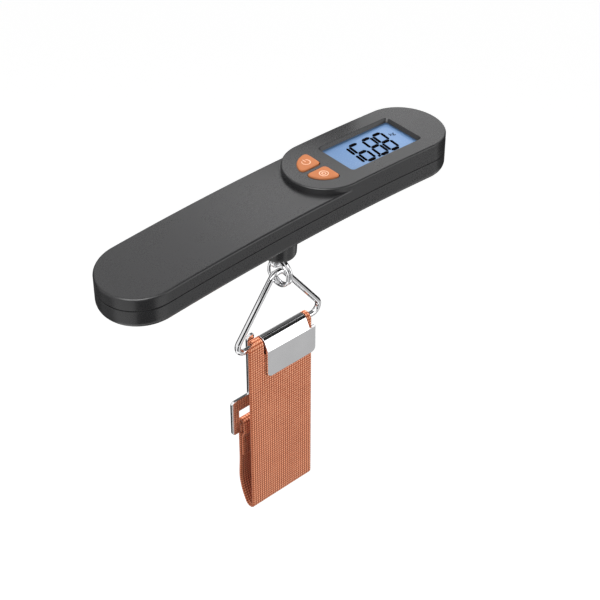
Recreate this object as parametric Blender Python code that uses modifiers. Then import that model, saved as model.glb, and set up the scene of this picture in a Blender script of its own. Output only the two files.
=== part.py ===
"""Digital luggage scale: an arched two-shell body with a raised display, and a webbing strap on a hook clasp.

Units are metres. X runs along the body with the display at +X, Y runs across it with the user's side
at -Y, and Z is up. The origin is the middle of the body on its parting line, above the pull neck.
"""
import math

import bmesh
import bpy
from mathutils import Matrix, Vector

MM = 0.001
OBJECT_NAME = "luggage_scale"

# Clearances
GAP = 0.3 * MM
LOOP_GAP = 0.5 * MM

# Body
BODY_LENGTH = 150 * MM
BODY_WIDTH = 31 * MM
ARCH_RADIUS = 926 * MM
WALL = 1.8 * MM
PARTING_GAP = 0.3 * MM
PARTING_CHAMFER = 0.25 * MM
HANDLE_TOP = 4.9 * MM
POD_TOP = 7.1 * MM
BODY_BOTTOM = -7.7 * MM
TOP_EDGE_ROUND = 1.0 * MM
POD_EDGE_ROUND = 0.6 * MM
BOTTOM_EDGE_ROUND = 3.0 * MM
ROOF = 1.5 * MM
POD_END_X = 5.9 * MM
POD_INSET = 0.05 * MM
ARCH_STEP = 10 * MM

# Display
WINDOW_X = 43.0 * MM
WINDOW_LENGTH = 33.6 * MM
WINDOW_WIDTH = 18.0 * MM
WINDOW_SLOPE = 0.8 * MM
WINDOW_CORNER = 1.2 * MM
LCD_MARGIN = 2.4 * MM
LCD_THICK = 1.8 * MM
BACKLIGHT_INSET = 1.0 * MM
BACKLIGHT_THICK = 1.4 * MM
BOARD_X = 37.5 * MM
BOARD_LENGTH = 57.0 * MM
BOARD_WIDTH = 22.0 * MM
BOARD_THICK = 1.0 * MM
ZEBRA_WIDTH = 1.6 * MM
CHIP_SIZE = 9.0 * MM
CHIP_THICK = 1.0 * MM

# Buttons
BUTTON_X = 20.5 * MM
BUTTON_RADIUS = 9.1 * MM
BUTTON_SPLIT = 1.9 * MM
BUTTON_PROUD = 0.5 * MM
BUTTON_CORNER = 1.7 * MM
BUTTON_FLANGE = 0.7 * MM
BUTTON_FLANGE_THICK = 0.8 * MM
BUTTON_TRAVEL = 0.5 * MM
BUTTON_STEM_RADIUS = 1.4 * MM
SWITCH_SIZE = 4.5 * MM
SWITCH_HEIGHT = 1.1 * MM

# Pull neck under the body
NECK_RADIUS_TOP = 6.8 * MM
NECK_RADIUS_BOTTOM = 6.2 * MM
NECK_BOTTOM = -21.8 * MM
NECK_EDGE_ROUND = 2.0 * MM
NECK_BORE_RADIUS = 4.9 * MM
NECK_BORE_DEPTH = 8.0 * MM

# Load cell and pull eye
CELL_LENGTH = 44.0 * MM
CELL_WIDTH = 11.0 * MM
CELL_HEIGHT = 4.4 * MM
CELL_TOP = 0.8 * MM
CELL_LOAD_END = 6.0 * MM
CELL_HOLE_RADIUS = 1.4 * MM
CELL_HOLE_SPACING = 8.0 * MM
CELL_SCREW_INSET = 4.5 * MM
CELL_SCREW_SPACING = 7.0 * MM
GAUGE_LENGTH = 7.0 * MM
GAUGE_WIDTH = 5.0 * MM
GAUGE_THICK = 0.3 * MM
EYE_WIRE = 2.0 * MM
EYE_RADIUS = 3.5 * MM
EYE_Z = -26.0 * MM
SHANK_RADIUS = 1.5 * MM
NUT_ACROSS = 6.0 * MM
NUT_HEIGHT = 1.6 * MM

# Split ring
RING_WIRE = 1.2 * MM
RING_RADIUS = 5.3 * MM
RING_TURN_GAP = 0.42 * MM
RING_JOG = math.radians(66)

# Triangle link
LINK_WIRE = 2.3 * MM
LINK_X = 1.0 * MM
LINK_Y = 2.0 * MM
LINK_LIFT = 0.3 * MM
LINK_HEIGHT = 31.0 * MM
LINK_HALF_WIDTH = 22.7 * MM
LINK_APEX_BEND = 4.2 * MM
LINK_CORNER_BEND = 3.3 * MM

# Clasp
CLASP_THICK = 1.2 * MM
BAR_GAP = 0.2 * MM
TONGUE_LEFT = -7.7 * MM
TONGUE_RIGHT = 12.8 * MM
LIP_RIGHT = 15.7 * MM
LIP_FORWARD = 3.45 * MM
LIP_CREASE = 2.4 * MM
LIP_HEIGHT = 12.1 * MM
LIP_CORNER = 2.0 * MM
PLATE_BACK = 3.55 * MM
PLATE_CREASE = 2.7 * MM
PLATE_LEFT = -10.9 * MM
PLATE_RIGHT = 15.7 * MM
PLATE_DROP = 30.9 * MM
EAR_HEIGHT = 2.7 * MM
EAR_GAP = 0.5 * MM
ARM_HEIGHT = 5.7 * MM
HOOK_LEFT = -20.6 * MM
HOOK_LIP_WIDTH = 4.3 * MM
HOOK_GAP = 7.0 * MM
FINGER_HEIGHT = 3.8 * MM
FINGER_END = 11.0 * MM
HOOK_CORNER = 1.4 * MM

# Strap
STRAP_WIDTH = 30.0 * MM
STRAP_THICK = 1.2 * MM
STRAP_DROP = 79.4 * MM
STRAP_FOLD_RADIUS = 2.0 * MM
STRAP_BACK_RISE = 11.0 * MM
STRAP_TAIL = 12.5 * MM
STRAP_FLAP = 9.0 * MM
STRAP_TUCK = 3.0 * MM
STRAP_SETTLE = 4.0 * MM
STRAP_BACK_OFFSET = 0.35 * MM
EYE_SLACK = 0.35 * MM
WINDOW_DROP = 3.4 * MM
WINDOW_SIDE_GAP = 0.4 * MM

# Battery
CELL_DIAMETER = 20.0 * MM
COIN_HEIGHT = 3.2 * MM
CELL_CLEARANCE = 0.5 * MM
DOOR_THICK = 1.5 * MM
DOOR_COLLAR = 0.7 * MM
DOOR_RADIUS = CELL_DIAMETER / 2 + CELL_CLEARANCE + DOOR_COLLAR
DOOR_LUG = 1.3 * MM
CELL_TO_DOOR = 1.5 * MM
BATTERY_X = CELL_LOAD_END - CELL_LENGTH - CELL_TO_DOOR - DOOR_LUG - DOOR_RADIUS
DOOR_LUG_THICK = 0.9 * MM
DOOR_LUG_COUNT = 2
DOOR_LUG_SWEEP = math.radians(30)
DOOR_TURN = math.radians(50)
COIN_SLOT_LENGTH = 13.0 * MM
COIN_SLOT_WIDTH = 1.8 * MM
COIN_SLOT_DEPTH = 0.7 * MM
CONTACT_THICK = 0.3 * MM
CONTACT_WIDTH = 4.0 * MM

# Case screws
SCREW_RADIUS = 1.0 * MM
SCREW_HEAD_RADIUS = 1.9 * MM
SCREW_HEAD = 1.2 * MM
SCREW_SINK = 0.9 * MM
POST_WALL = 1.3 * MM
NEAR_SCREW_X = BATTERY_X - DOOR_RADIUS - DOOR_LUG - GAP - SCREW_HEAD_RADIUS - POST_WALL
SCREW_PLACES = ((NEAR_SCREW_X, 0.0), (69.5 * MM, 0.0), (-9 * MM, 10.4 * MM), (-9 * MM, -10.4 * MM))

# Facets
ROUND = 40
SMALL_ROUND = 20
WIRE_ROUND = 2

# Derived places
INNER_FLOOR = BODY_BOTTOM + WALL
HANDLE_ROOF = HANDLE_TOP - ROOF
POD_ROOF = POD_TOP - ROOF
POD_LENGTH = BODY_LENGTH / 2 - POD_END_X
POD_X = POD_END_X + POD_LENGTH / 2
LCD_TOP = POD_ROOF - 2 * GAP
LCD_BOTTOM = LCD_TOP - LCD_THICK
BACKLIGHT_TOP = LCD_BOTTOM - GAP
BOARD_TOP = BACKLIGHT_TOP - BACKLIGHT_THICK - GAP
LINK_RADIUS = LINK_WIRE / 2
RING_PITCH = RING_WIRE + RING_TURN_GAP
RING_INNER = RING_RADIUS - RING_WIRE / 2
CLASP_ROLL = LINK_RADIUS + BAR_GAP + CLASP_THICK / 2
STRAP_ROLL = LINK_RADIUS + BAR_GAP + STRAP_THICK / 2


def ring_centre_z():
    """Height of the split ring's middle: it hangs on the wire of the pull eye."""
    return EYE_Z - (RING_INNER - EYE_WIRE / 2 - LOOP_GAP)


def link_apex_z():
    """Height of the wire's axis at the top of the link, which rests inside the split ring."""
    reach = RING_INNER - LINK_RADIUS - LOOP_GAP
    return ring_centre_z() - math.sqrt(reach ** 2 - LINK_Y ** 2) + LINK_LIFT


def link_bar_z():
    """Height of the axis of the link's bottom bar."""
    half_angle = math.atan2(LINK_HALF_WIDTH, LINK_HEIGHT)
    sharp_apex = link_apex_z() + LINK_APEX_BEND * (1 / math.sin(half_angle) - 1)
    return sharp_apex - LINK_HEIGHT


BAR_Z = link_bar_z()
PLATE_Y = LINK_Y + PLATE_BACK
FRONT_Y = LINK_Y - STRAP_ROLL
PLATE_TOP = BAR_Z - PLATE_CREASE
PLATE_BOTTOM = BAR_Z - PLATE_DROP
FINGER_TOP = PLATE_BOTTOM - HOOK_GAP
FINGER_BOTTOM = FINGER_TOP - FINGER_HEIGHT


def clear_scene():
    """Removes what the file holds."""
    for old in list(bpy.data.objects):
        bpy.data.objects.remove(old, do_unlink=True)


def make_collections():
    """The parts' collection, named for the object, and the cutters' collection."""
    pair = []
    for name in (OBJECT_NAME, "cutters"):
        group = bpy.data.collections.new(name)
        bpy.context.scene.collection.children.link(group)
        pair.append(group)
    return pair


clear_scene()
PARTS, CUTTERS = make_collections()


def material(name, colour, roughness, metallic=0.0):
    """A Principled material with one colour."""
    made = bpy.data.materials.get(name) or bpy.data.materials.new(name)
    made.use_nodes = True
    shader = made.node_tree.nodes["Principled BSDF"]
    shader.inputs["Base Color"].default_value = (*colour, 1.0)
    shader.inputs["Roughness"].default_value = roughness
    shader.inputs["Metallic"].default_value = metallic
    return made


def shell_plastic():
    return material("shell_plastic", (0.075, 0.075, 0.077), 0.5)


def steel():
    return material("plated_steel", (0.82, 0.82, 0.83), 0.14, 1.0)


def zinc():
    return material("zinc_screw", (0.6, 0.6, 0.62), 0.35, 1.0)


def from_bmesh(name, bm, finish=None):
    """An object of the mesh, in the parts' collection, or in the cutters' if it has no finish."""
    bmesh.ops.recalc_face_normals(bm, faces=bm.faces)
    mesh = bpy.data.meshes.new(name)
    bm.to_mesh(mesh)
    bm.free()
    made = bpy.data.objects.new(name, mesh)
    if finish is None:
        CUTTERS.objects.link(made)
        made.hide_render = True
        made.display_type = "WIRE"
        return made
    PARTS.objects.link(made)
    mesh.materials.append(finish)
    smooth(mesh)
    return made


def smooth(mesh):
    """Shades round stretches smooth and keeps true corners."""
    mesh.shade_smooth()
    mesh.set_sharp_from_angle(angle=math.radians(35))


def prism(face, bm, depth):
    """Extrudes a face along +Z into a closed prism."""
    grown = bmesh.ops.extrude_face_region(bm, geom=[face])
    top = [v for v in grown["geom"] if isinstance(v, bmesh.types.BMVert)]
    bmesh.ops.translate(bm, verts=top, vec=(0, 0, depth))


def edges_at(bm, z):
    """The edges that lie at one height."""
    return [e for e in bm.edges if all(abs(v.co.z - z) < 1e-7 for v in e.verts)]


def upright_edges(bm, places):
    """The vertical edges over the given plan points."""
    found = []
    for edge in bm.edges:
        low, high = (v.co for v in edge.verts)
        if (low.xy - high.xy).length < 1e-7 and any((low.xy - Vector(p)).length < 1e-7 for p in places):
            found.append(edge)
    return found


def bevel(bm, edges, width, segments):
    """Rounds edges."""
    bmesh.ops.bevel(bm, geom=edges, offset=width, offset_type="OFFSET", segments=segments,
                    profile=0.5, affect="EDGES", clamp_overlap=True, material=-1)


def stadium(length, width, low, high, x_mid=0.0, top_round=(0.0, 0), bottom_round=(0.0, 0)):
    """A prism with a stadium outline, and rims rounded by a width in a number of segments."""
    bm = bmesh.new()
    bmesh.ops.create_circle(bm, cap_ends=True, radius=width / 2, segments=ROUND,
                            matrix=Matrix.Rotation(math.pi / ROUND, 4, "Z"))
    for vert in bm.verts:
        vert.co.x += x_mid + math.copysign((length - width) / 2, vert.co.x)
        vert.co.z = low
    prism(bm.faces[:][0], bm, high - low)
    if top_round[1]:
        bevel(bm, edges_at(bm, high), *top_round)
    if bottom_round[1]:
        bevel(bm, edges_at(bm, low), *bottom_round)
    return bm


def block(size, middle, corner=0.0, segments=3):
    """A box with rounded upright edges."""
    bm = bmesh.new()
    bmesh.ops.create_cube(bm, size=1.0, matrix=Matrix.Translation(middle) @ Matrix.Diagonal((*size, 1.0)))
    if corner:
        upright = [e for e in bm.edges if (e.verts[0].co.xy - e.verts[1].co.xy).length < 1e-9]
        bevel(bm, upright, corner, segments)
    return bm


def cylinder(radius, low, high, x=0.0, y=0.0, top_radius=None, segments=SMALL_ROUND):
    """An upright cylinder or cone between two heights."""
    bm = bmesh.new()
    bmesh.ops.create_cone(bm, cap_ends=True, segments=segments, radius1=radius,
                          radius2=radius if top_radius is None else top_radius, depth=high - low,
                          matrix=Matrix.Translation((x, y, (low + high) / 2)))
    return bm


def cross_cylinder(radius, width, x, z, segments=SMALL_ROUND):
    """A cylinder along Y."""
    bm = bmesh.new()
    turn = Matrix.Translation((x, 0, z)) @ Matrix.Rotation(math.pi / 2, 4, "X")
    bmesh.ops.create_cone(bm, cap_ends=True, segments=segments, radius1=radius, radius2=radius,
                          depth=width, matrix=turn)
    return bm


def turned(name, profile, finish=None, segments=ROUND, x=0.0, y=0.0):
    """A solid of revolution about Z from (radius, height) points that run down the outer side."""
    mesh = bpy.data.meshes.new(name)
    points = [(radius, 0, height) for radius, height in profile]
    mesh.from_pydata(points, [(i, i + 1) for i in range(len(points) - 1)], [])
    made = bpy.data.objects.new(name, mesh)
    (PARTS if finish else CUTTERS).objects.link(made)
    made.location = (x, y, 0)
    screw = made.modifiers.new("turn", "SCREW")
    screw.steps = segments
    screw.render_steps = segments
    screw.use_merge_vertices = True
    screw.merge_threshold = 0.000001
    bake(made)
    if finish:
        made.data.materials.append(finish)
        smooth(made.data)
    else:
        made.hide_render = True
        made.display_type = "WIRE"
    return made


def bake(made):
    """Replaces an object's mesh with its evaluated one."""
    bpy.context.view_layer.update()
    mesh = bpy.data.meshes.new_from_object(made.evaluated_get(bpy.context.evaluated_depsgraph_get()))
    mesh.name = made.name
    made.modifiers.clear()
    made.data = mesh


def boolean(made, cutters, operation):
    """Cuts or joins shapes, given as meshes or cutter objects, one after the other."""
    for number, cutter in enumerate(cutters):
        if isinstance(cutter, bmesh.types.BMesh):
            cutter = from_bmesh(f"{made.name}_{operation.lower()}_{number}", cutter)
        step = made.modifiers.new(cutter.name, "BOOLEAN")
        step.object = cutter
        step.operation = operation
        step.solver = "EXACT"
    bake(made)


def cut(made, *cutters):
    boolean(made, cutters, "DIFFERENCE")


def join(made, *shapes):
    boolean(made, shapes, "UNION")


def arch_drop(x):
    """How far the arched body lies below its middle at x."""
    return x * x / (2 * ARCH_RADIUS)


def arch(made):
    """Bends a straight cover to the body's arch: cuts it across at equal steps, then lowers each point."""
    bm = bmesh.new()
    bm.from_mesh(made.data)
    stations = int(BODY_LENGTH / 2 / ARCH_STEP)
    for number in range(-stations, stations + 1):
        everything = bm.verts[:] + bm.edges[:] + bm.faces[:]
        bmesh.ops.bisect_plane(bm, geom=everything, dist=1e-7, plane_co=(number * ARCH_STEP, 0, 0),
                               plane_no=(1, 0, 0))
    for vert in bm.verts:
        vert.co.z -= arch_drop(vert.co.x)
    bmesh.ops.triangulate(bm, faces=bm.faces)
    bm.to_mesh(made.data)
    bm.free()
    smooth(made.data)


def seat(made, x, y=0.0):
    """Stands a rigid piece, modelled about the Z axis, square to the arch at x, with its middle still over x."""
    heights = [v.co.z for v in made.data.vertices]
    middle = (min(heights) + max(heights)) / 2
    slope = x / ARCH_RADIUS
    made.location = (x - middle * math.sin(slope), y, -arch_drop(x))
    made.rotation_euler = (0, slope, 0)


def wire(name, points, radius, finish, closed=False, resolution=WIRE_ROUND):
    """A round wire along points, as a mesh with closed ends."""
    curve = bpy.data.curves.new(name, "CURVE")
    curve.dimensions = "3D"
    curve.bevel_depth = radius
    curve.bevel_resolution = resolution
    curve.use_fill_caps = not closed
    spline = curve.splines.new("POLY")
    spline.points.add(len(points) - 1)
    for place, point in zip(spline.points, points):
        place.co = (*point, 1.0)
    spline.use_cyclic_u = closed
    holder = bpy.data.objects.new(name + "_axis", curve)
    PARTS.objects.link(holder)
    bpy.context.view_layer.update()
    mesh = bpy.data.meshes.new_from_object(holder.evaluated_get(bpy.context.evaluated_depsgraph_get()))
    bpy.data.objects.remove(holder, do_unlink=True)
    bm = bmesh.new()
    bm.from_mesh(mesh)
    bmesh.ops.remove_doubles(bm, verts=bm.verts, dist=1e-6)
    return from_bmesh(name, bm, finish)


def move_origin(made, place):
    """Puts an object's origin on its joint, with its shape where it was."""
    made.data.transform(Matrix.Translation(-Vector(place)))
    made.location = place


def rounded(corners, bends, steps=8):
    """A closed outline of straight runs with an arc at each corner, in two dimensions."""
    outline = []
    for number, corner in enumerate(corners):
        here = Vector(corner)
        back = (Vector(corners[number - 1]) - here).normalized()
        ahead = (Vector(corners[(number + 1) % len(corners)]) - here).normalized()
        half = back.angle(ahead) / 2
        middle = here + (back + ahead).normalized() * bends[number] / math.sin(half)
        start = here + back * bends[number] / math.tan(half) - middle
        sweep = (math.pi - 2 * half) * (1 if back.cross(ahead) < 0 else -1)
        for step in range(steps + 1):
            outline.append(middle + Matrix.Rotation(sweep * step / steps, 2) @ start)
    return outline


def button_sector(side, grow, low, high):
    """A quarter-disc prism with round corners, on one side of the buttons' split."""
    split = BUTTON_SPLIT / 2
    radius = BUTTON_RADIUS
    steps = 6
    corner = Vector((0.0, split))
    plan = [corner]
    for step in range(steps + 1):
        angle = math.pi / 2 + math.pi / 2 * step / steps
        plan.append(Vector((radius * math.cos(angle), split + (radius - split) * math.sin(angle))))
    bm = bmesh.new()
    face = bm.faces.new([bm.verts.new((BUTTON_X + p.x, side * p.y, low)) for p in plan])
    prism(face, bm, high - low)
    ends = [(BUTTON_X + p.x, side * p.y) for p in (plan[0], plan[1], plan[-1])]
    bevel(bm, upright_edges(bm, ends), BUTTON_CORNER, 3)
    if grow:
        walls = [f for f in bm.faces if abs(f.normal.z) < 0.5]
        push_out(bm, walls, grow)
    return bm


def push_out(bm, walls, distance):
    """Moves upright walls outwards, each point along the mitre of the walls that meet there."""
    bmesh.ops.recalc_face_normals(bm, faces=bm.faces)
    moves = {}
    for vert in bm.verts:
        normals = [f.normal for f in vert.link_faces if f in walls]
        total = sum(normals, Vector())
        moves[vert] = total.normalized() * distance / max(total.length / len(normals), 0.5)
    for vert, move in moves.items():
        vert.co += move


def window_cutter():
    """The display opening: its walls slope in towards the glass."""
    bm = block((WINDOW_LENGTH, WINDOW_WIDTH, ROOF + 2 * GAP), (WINDOW_X, 0, POD_TOP - ROOF / 2), WINDOW_CORNER)
    middle = Vector((WINDOW_X, 0))
    for vert in bm.verts:
        if vert.co.z < POD_TOP - ROOF / 2:
            offset = vert.co.xy - middle
            vert.co.x -= math.copysign(WINDOW_SLOPE, offset.x)
            vert.co.y -= math.copysign(WINDOW_SLOPE, offset.y)
    return bm


def roof_over(x):
    """Height of the roof's inner face at x, before the arch."""
    return POD_ROOF if x > POD_END_X + WALL else HANDLE_ROOF


def build_upper_cover():
    """Top shell with the raised display pod, its openings and the posts that the case screws bite in."""
    low = PARTING_GAP / 2
    cover = from_bmesh("upper_cover", stadium(BODY_LENGTH, BODY_WIDTH, low, HANDLE_TOP, 0.0,
                                              (TOP_EDGE_ROUND, 3), (PARTING_CHAMFER, 1)), shell_plastic())
    inset = 2 * POD_INSET
    pod = stadium(POD_LENGTH - POD_INSET, BODY_WIDTH - inset, low + 2 * GAP, POD_TOP, POD_X,
                  (POD_EDGE_ROUND, 2))
    join(cover, pod)
    hollow = 2 * WALL
    cut(cover,
        stadium(BODY_LENGTH - hollow, BODY_WIDTH - hollow, -WALL, HANDLE_ROOF),
        stadium(POD_LENGTH - hollow, BODY_WIDTH - hollow - inset, -WALL, POD_ROOF, POD_X),
        window_cutter(),
        *(button_sector(side, GAP, POD_ROOF - GAP, POD_TOP + GAP) for side in (1, -1)))
    post = SCREW_RADIUS + GAP + POST_WALL
    join(cover, *(cylinder(post, low + GAP, roof_over(x) + GAP, x, y) for x, y in SCREW_PLACES))
    cut(cover, *(cylinder(SCREW_RADIUS + GAP, -WALL, HANDLE_ROOF - GAP, x, y) for x, y in SCREW_PLACES))
    arch(cover)


def neck_profile():
    """Half section of the pull neck: a taper with a round lower rim."""
    profile = [(0.0, INNER_FLOOR - GAP), (NECK_RADIUS_TOP, INNER_FLOOR - GAP), (NECK_RADIUS_TOP, BODY_BOTTOM)]
    steps = 5
    for step in range(steps + 1):
        angle = math.pi / 2 * step / steps
        profile.append((NECK_RADIUS_BOTTOM - NECK_EDGE_ROUND * (1 - math.cos(angle)),
                        NECK_BOTTOM + NECK_EDGE_ROUND * (1 - math.sin(angle))))
    profile.append((0.0, NECK_BOTTOM))
    return profile


def door_lugs(grow, low, high):
    """Cutters or lugs: short ring segments that stand out from the battery door's collar."""
    lugs = []
    outer = DOOR_RADIUS + DOOR_LUG + grow
    inner = DOOR_RADIUS - DOOR_COLLAR / 2
    sweep = DOOR_LUG_SWEEP + 2 * grow / DOOR_RADIUS
    steps = 4
    for number in range(DOOR_LUG_COUNT):
        middle = 2 * math.pi * number / DOOR_LUG_COUNT
        angles = [middle + sweep * (step / steps - 0.5) for step in range(steps + 1)]
        plan = [(outer * math.cos(a), outer * math.sin(a)) for a in angles]
        plan += [(inner * math.cos(a), inner * math.sin(a)) for a in reversed(angles)]
        bm = bmesh.new()
        prism(bm.faces.new([bm.verts.new((x, y, low)) for x, y in plan]), bm, high - low)
        lugs.append(bm)
    return lugs


def shifted(bm, x, turn=0.0):
    """A mesh turned about Z and moved along X."""
    bmesh.ops.transform(bm, matrix=Matrix.Translation((x, 0, 0)) @ Matrix.Rotation(turn, 4, "Z"), verts=bm.verts)
    return bm


def build_lower_cover():
    """Bottom shell with the pull neck, the load cell's seat, the screw posts and the battery opening."""
    high = -PARTING_GAP / 2
    cover = from_bmesh("lower_cover", stadium(BODY_LENGTH, BODY_WIDTH, BODY_BOTTOM, high, 0.0,
                                              (PARTING_CHAMFER, 1), (BOTTOM_EDGE_ROUND, 4)), shell_plastic())
    hollow = 2 * WALL
    cut(cover, stadium(BODY_LENGTH - hollow, BODY_WIDTH - hollow, INNER_FLOOR, WALL))
    pad_length = CELL_SCREW_SPACING + 2 * CELL_SCREW_INSET
    pad_top = CELL_TOP - CELL_HEIGHT - GAP + arch_drop(cell_screw_x(1) + CELL_SCREW_INSET)
    pad = block((pad_length, CELL_WIDTH, pad_top - INNER_FLOOR + GAP),
                (cell_screw_x(0.5), 0, (pad_top + INNER_FLOOR - GAP) / 2))
    post = SCREW_RADIUS + GAP + POST_WALL
    join(cover, turned("neck", neck_profile()), pad,
         *(cylinder(post, INNER_FLOOR - GAP, high - GAP, x, y) for x, y in SCREW_PLACES))
    cuts = [cylinder(NECK_BORE_RADIUS, NECK_BOTTOM - GAP, NECK_BOTTOM + NECK_BORE_DEPTH, segments=ROUND),
            cylinder(SHANK_RADIUS + 2 * GAP, NECK_BOTTOM, WALL)]
    cuts += [cylinder(SCREW_RADIUS + GAP, BODY_BOTTOM - GAP, WALL, x, y) for x, y in SCREW_PLACES]
    cuts += [cylinder(SCREW_HEAD_RADIUS + GAP, BODY_BOTTOM - GAP, BODY_BOTTOM + SCREW_SINK + SCREW_HEAD, x, y)
             for x, y in SCREW_PLACES]
    cuts += [cylinder(SCREW_RADIUS + GAP, INNER_FLOOR + GAP, WALL, cell_screw_x(n)) for n in (0, 1)]
    cuts.append(cylinder(DOOR_RADIUS + GAP, BODY_BOTTOM - GAP, INNER_FLOOR + GAP, BATTERY_X, segments=ROUND))
    cuts += [shifted(lug, BATTERY_X, DOOR_TURN) for lug in
             door_lugs(GAP, BODY_BOTTOM - GAP, INNER_FLOOR + GAP)]
    cut(cover, *cuts)
    arch(cover)


def cell_screw_x(number):
    """Places of the two screws at the load cell's fixed end."""
    return CELL_LOAD_END - CELL_LENGTH + CELL_SCREW_INSET + number * CELL_SCREW_SPACING


def build_battery():
    """Coin cell, its twist-off door with a coin slot, and two contact strips."""
    floor = BODY_BOTTOM + DOOR_THICK
    lug_low = INNER_FLOOR + GAP
    lug_high = lug_low + DOOR_LUG_THICK
    door = from_bmesh("battery_door", cylinder(DOOR_RADIUS, BODY_BOTTOM, lug_high, segments=ROUND), shell_plastic())
    slot = block((COIN_SLOT_LENGTH, COIN_SLOT_WIDTH, 2 * COIN_SLOT_DEPTH), (0, 0, BODY_BOTTOM), COIN_SLOT_WIDTH / 2.1)
    cut(door, cylinder(DOOR_RADIUS - DOOR_COLLAR, floor, lug_high + GAP, segments=ROUND), slot)
    join(door, *door_lugs(0.0, lug_low, lug_high))
    seat(door, BATTERY_X)

    coin_low = floor + GAP
    coin_high = coin_low + COIN_HEIGHT
    coin = from_bmesh("coin_cell", cylinder(CELL_DIAMETER / 2, coin_low, coin_high, segments=ROUND),
                      material("cell_steel", (0.7, 0.7, 0.7), 0.3, 1.0))
    bevel_rims(coin, 0.4 * MM)
    seat(coin, BATTERY_X)

    brass = material("contact_metal", (0.75, 0.7, 0.55), 0.3, 1.0)
    reach = DOOR_RADIUS + DOOR_LUG + 2 * GAP
    strip_z = coin_high + GAP
    top = strip("contact_negative", ((-CELL_DIAMETER / 4, strip_z), (reach, strip_z), (reach, lug_low)), brass)
    seat(top, BATTERY_X)
    side_x = CELL_DIAMETER / 2 + GAP + CONTACT_THICK / 2
    side = strip("contact_positive", ((-side_x, coin_high), (-side_x, lug_high + 2 * GAP),
                                      (-reach, lug_high + 2 * GAP), (-reach, lug_low)), brass)
    seat(side, BATTERY_X)


def bevel_rims(made, width):
    """Rounds the two rims of a disc."""
    bm = bmesh.new()
    bm.from_mesh(made.data)
    heights = (min(v.co.z for v in bm.verts), max(v.co.z for v in bm.verts))
    for height in heights:
        bevel(bm, edges_at(bm, height), width, 2)
    bm.to_mesh(made.data)
    bm.free()
    smooth(made.data)


def strip(name, path, finish):
    """A bent metal strip along (x, z) points, CONTACT_WIDTH wide across Y."""
    bm = bmesh.new()
    verts = [bm.verts.new((x, -CONTACT_WIDTH / 2, z)) for x, z in path]
    edges = [bm.edges.new(pair) for pair in zip(verts, verts[1:])]
    grown = bmesh.ops.extrude_edge_only(bm, edges=edges)
    far = [v for v in grown["geom"] if isinstance(v, bmesh.types.BMVert)]
    bmesh.ops.translate(bm, verts=far, vec=(0, CONTACT_WIDTH, 0))
    made = from_bmesh(name, bm, finish)
    thicken(made, CONTACT_THICK)
    return made


def thicken(made, thickness):
    """Gives a sheet its thickness, half to each side."""
    solidify = made.modifiers.new("thickness", "SOLIDIFY")
    solidify.thickness = thickness
    solidify.offset = 0.0
    solidify.use_even_offset = True
    bake(made)
    smooth(made.data)


def build_display():
    """LCD glass, backlight, connector strip and circuit board, stacked under the window."""
    length = WINDOW_LENGTH + 2 * LCD_MARGIN
    width = WINDOW_WIDTH + 2 * LCD_MARGIN
    lcd = from_bmesh("lcd_panel", block((length, width, LCD_THICK), (0, 0, LCD_TOP - LCD_THICK / 2)),
                     material("lcd_glass", (0.24, 0.4, 0.72), 0.2))
    seat(lcd, WINDOW_X)
    light_width = width - 2 * BACKLIGHT_INSET - 2 * ZEBRA_WIDTH
    light = from_bmesh("backlight_panel", block((length - 2 * BACKLIGHT_INSET, light_width, BACKLIGHT_THICK),
                                                (0, 0, BACKLIGHT_TOP - BACKLIGHT_THICK / 2)),
                       material("light_guide", (0.85, 0.88, 0.95), 0.4))
    seat(light, WINDOW_X)
    zebra = from_bmesh("zebra_connector", block((length - 2 * BACKLIGHT_INSET, ZEBRA_WIDTH, BACKLIGHT_THICK),
                                                (0, (light_width + ZEBRA_WIDTH) / 2 + GAP,
                                                 BACKLIGHT_TOP - BACKLIGHT_THICK / 2)),
                       material("zebra_rubber", (0.5, 0.42, 0.45), 0.7))
    seat(zebra, WINDOW_X)
    board = from_bmesh("circuit_board", block((BOARD_LENGTH, BOARD_WIDTH, BOARD_THICK),
                                              (0, 0, BOARD_TOP - BOARD_THICK / 2), 2 * MM),
                       material("board_green", (0.03, 0.2, 0.08), 0.45))
    seat(board, BOARD_X)
    chip_z = BOARD_TOP - BOARD_THICK - GAP - CHIP_THICK / 2
    chip = from_bmesh("controller_chip", block((CHIP_SIZE, CHIP_SIZE, CHIP_THICK), (0, 0, chip_z)),
                      material("chip_black", (0.02, 0.02, 0.02), 0.4))
    seat(chip, BOARD_X)


def build_buttons():
    """Two quarter-disc keys with a flange under the roof, each over its switch on the board."""
    for name, side in (("power", 1), ("tare", -1)):
        middle = Vector((BUTTON_X - BUTTON_RADIUS * 0.42, side * (BUTTON_SPLIT / 2 + BUTTON_RADIUS * 0.4), 0))
        flange_top = POD_ROOF - GAP
        key = from_bmesh(f"{name}_button", button_sector(side, 0.0, flange_top - GAP, POD_TOP + BUTTON_PROUD),
                         material("button_orange", (0.9, 0.27, 0.09), 0.4))
        round_top(key, POD_TOP + BUTTON_PROUD)
        flange = button_sector(side, min(BUTTON_FLANGE, BUTTON_SPLIT / 2 - GAP), flange_top - BUTTON_FLANGE_THICK,
                               flange_top)
        switch_top = BOARD_TOP + GAP + SWITCH_HEIGHT
        stem_low = switch_top + BUTTON_TRAVEL + GAP
        stem = cylinder(BUTTON_STEM_RADIUS, stem_low, flange_top - BUTTON_FLANGE_THICK / 2, middle.x, middle.y)
        join(key, flange, stem)
        key.data.transform(Matrix.Translation(-middle))
        seat(key, middle.x, middle.y)
        smooth(key.data)
        switch = from_bmesh(f"{name}_switch", block((SWITCH_SIZE, SWITCH_SIZE, SWITCH_HEIGHT),
                                                    (middle.x - BOARD_X, middle.y, switch_top - SWITCH_HEIGHT / 2)),
                            material("switch_black", (0.03, 0.03, 0.03), 0.5))
        seat(switch, BOARD_X)


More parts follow.
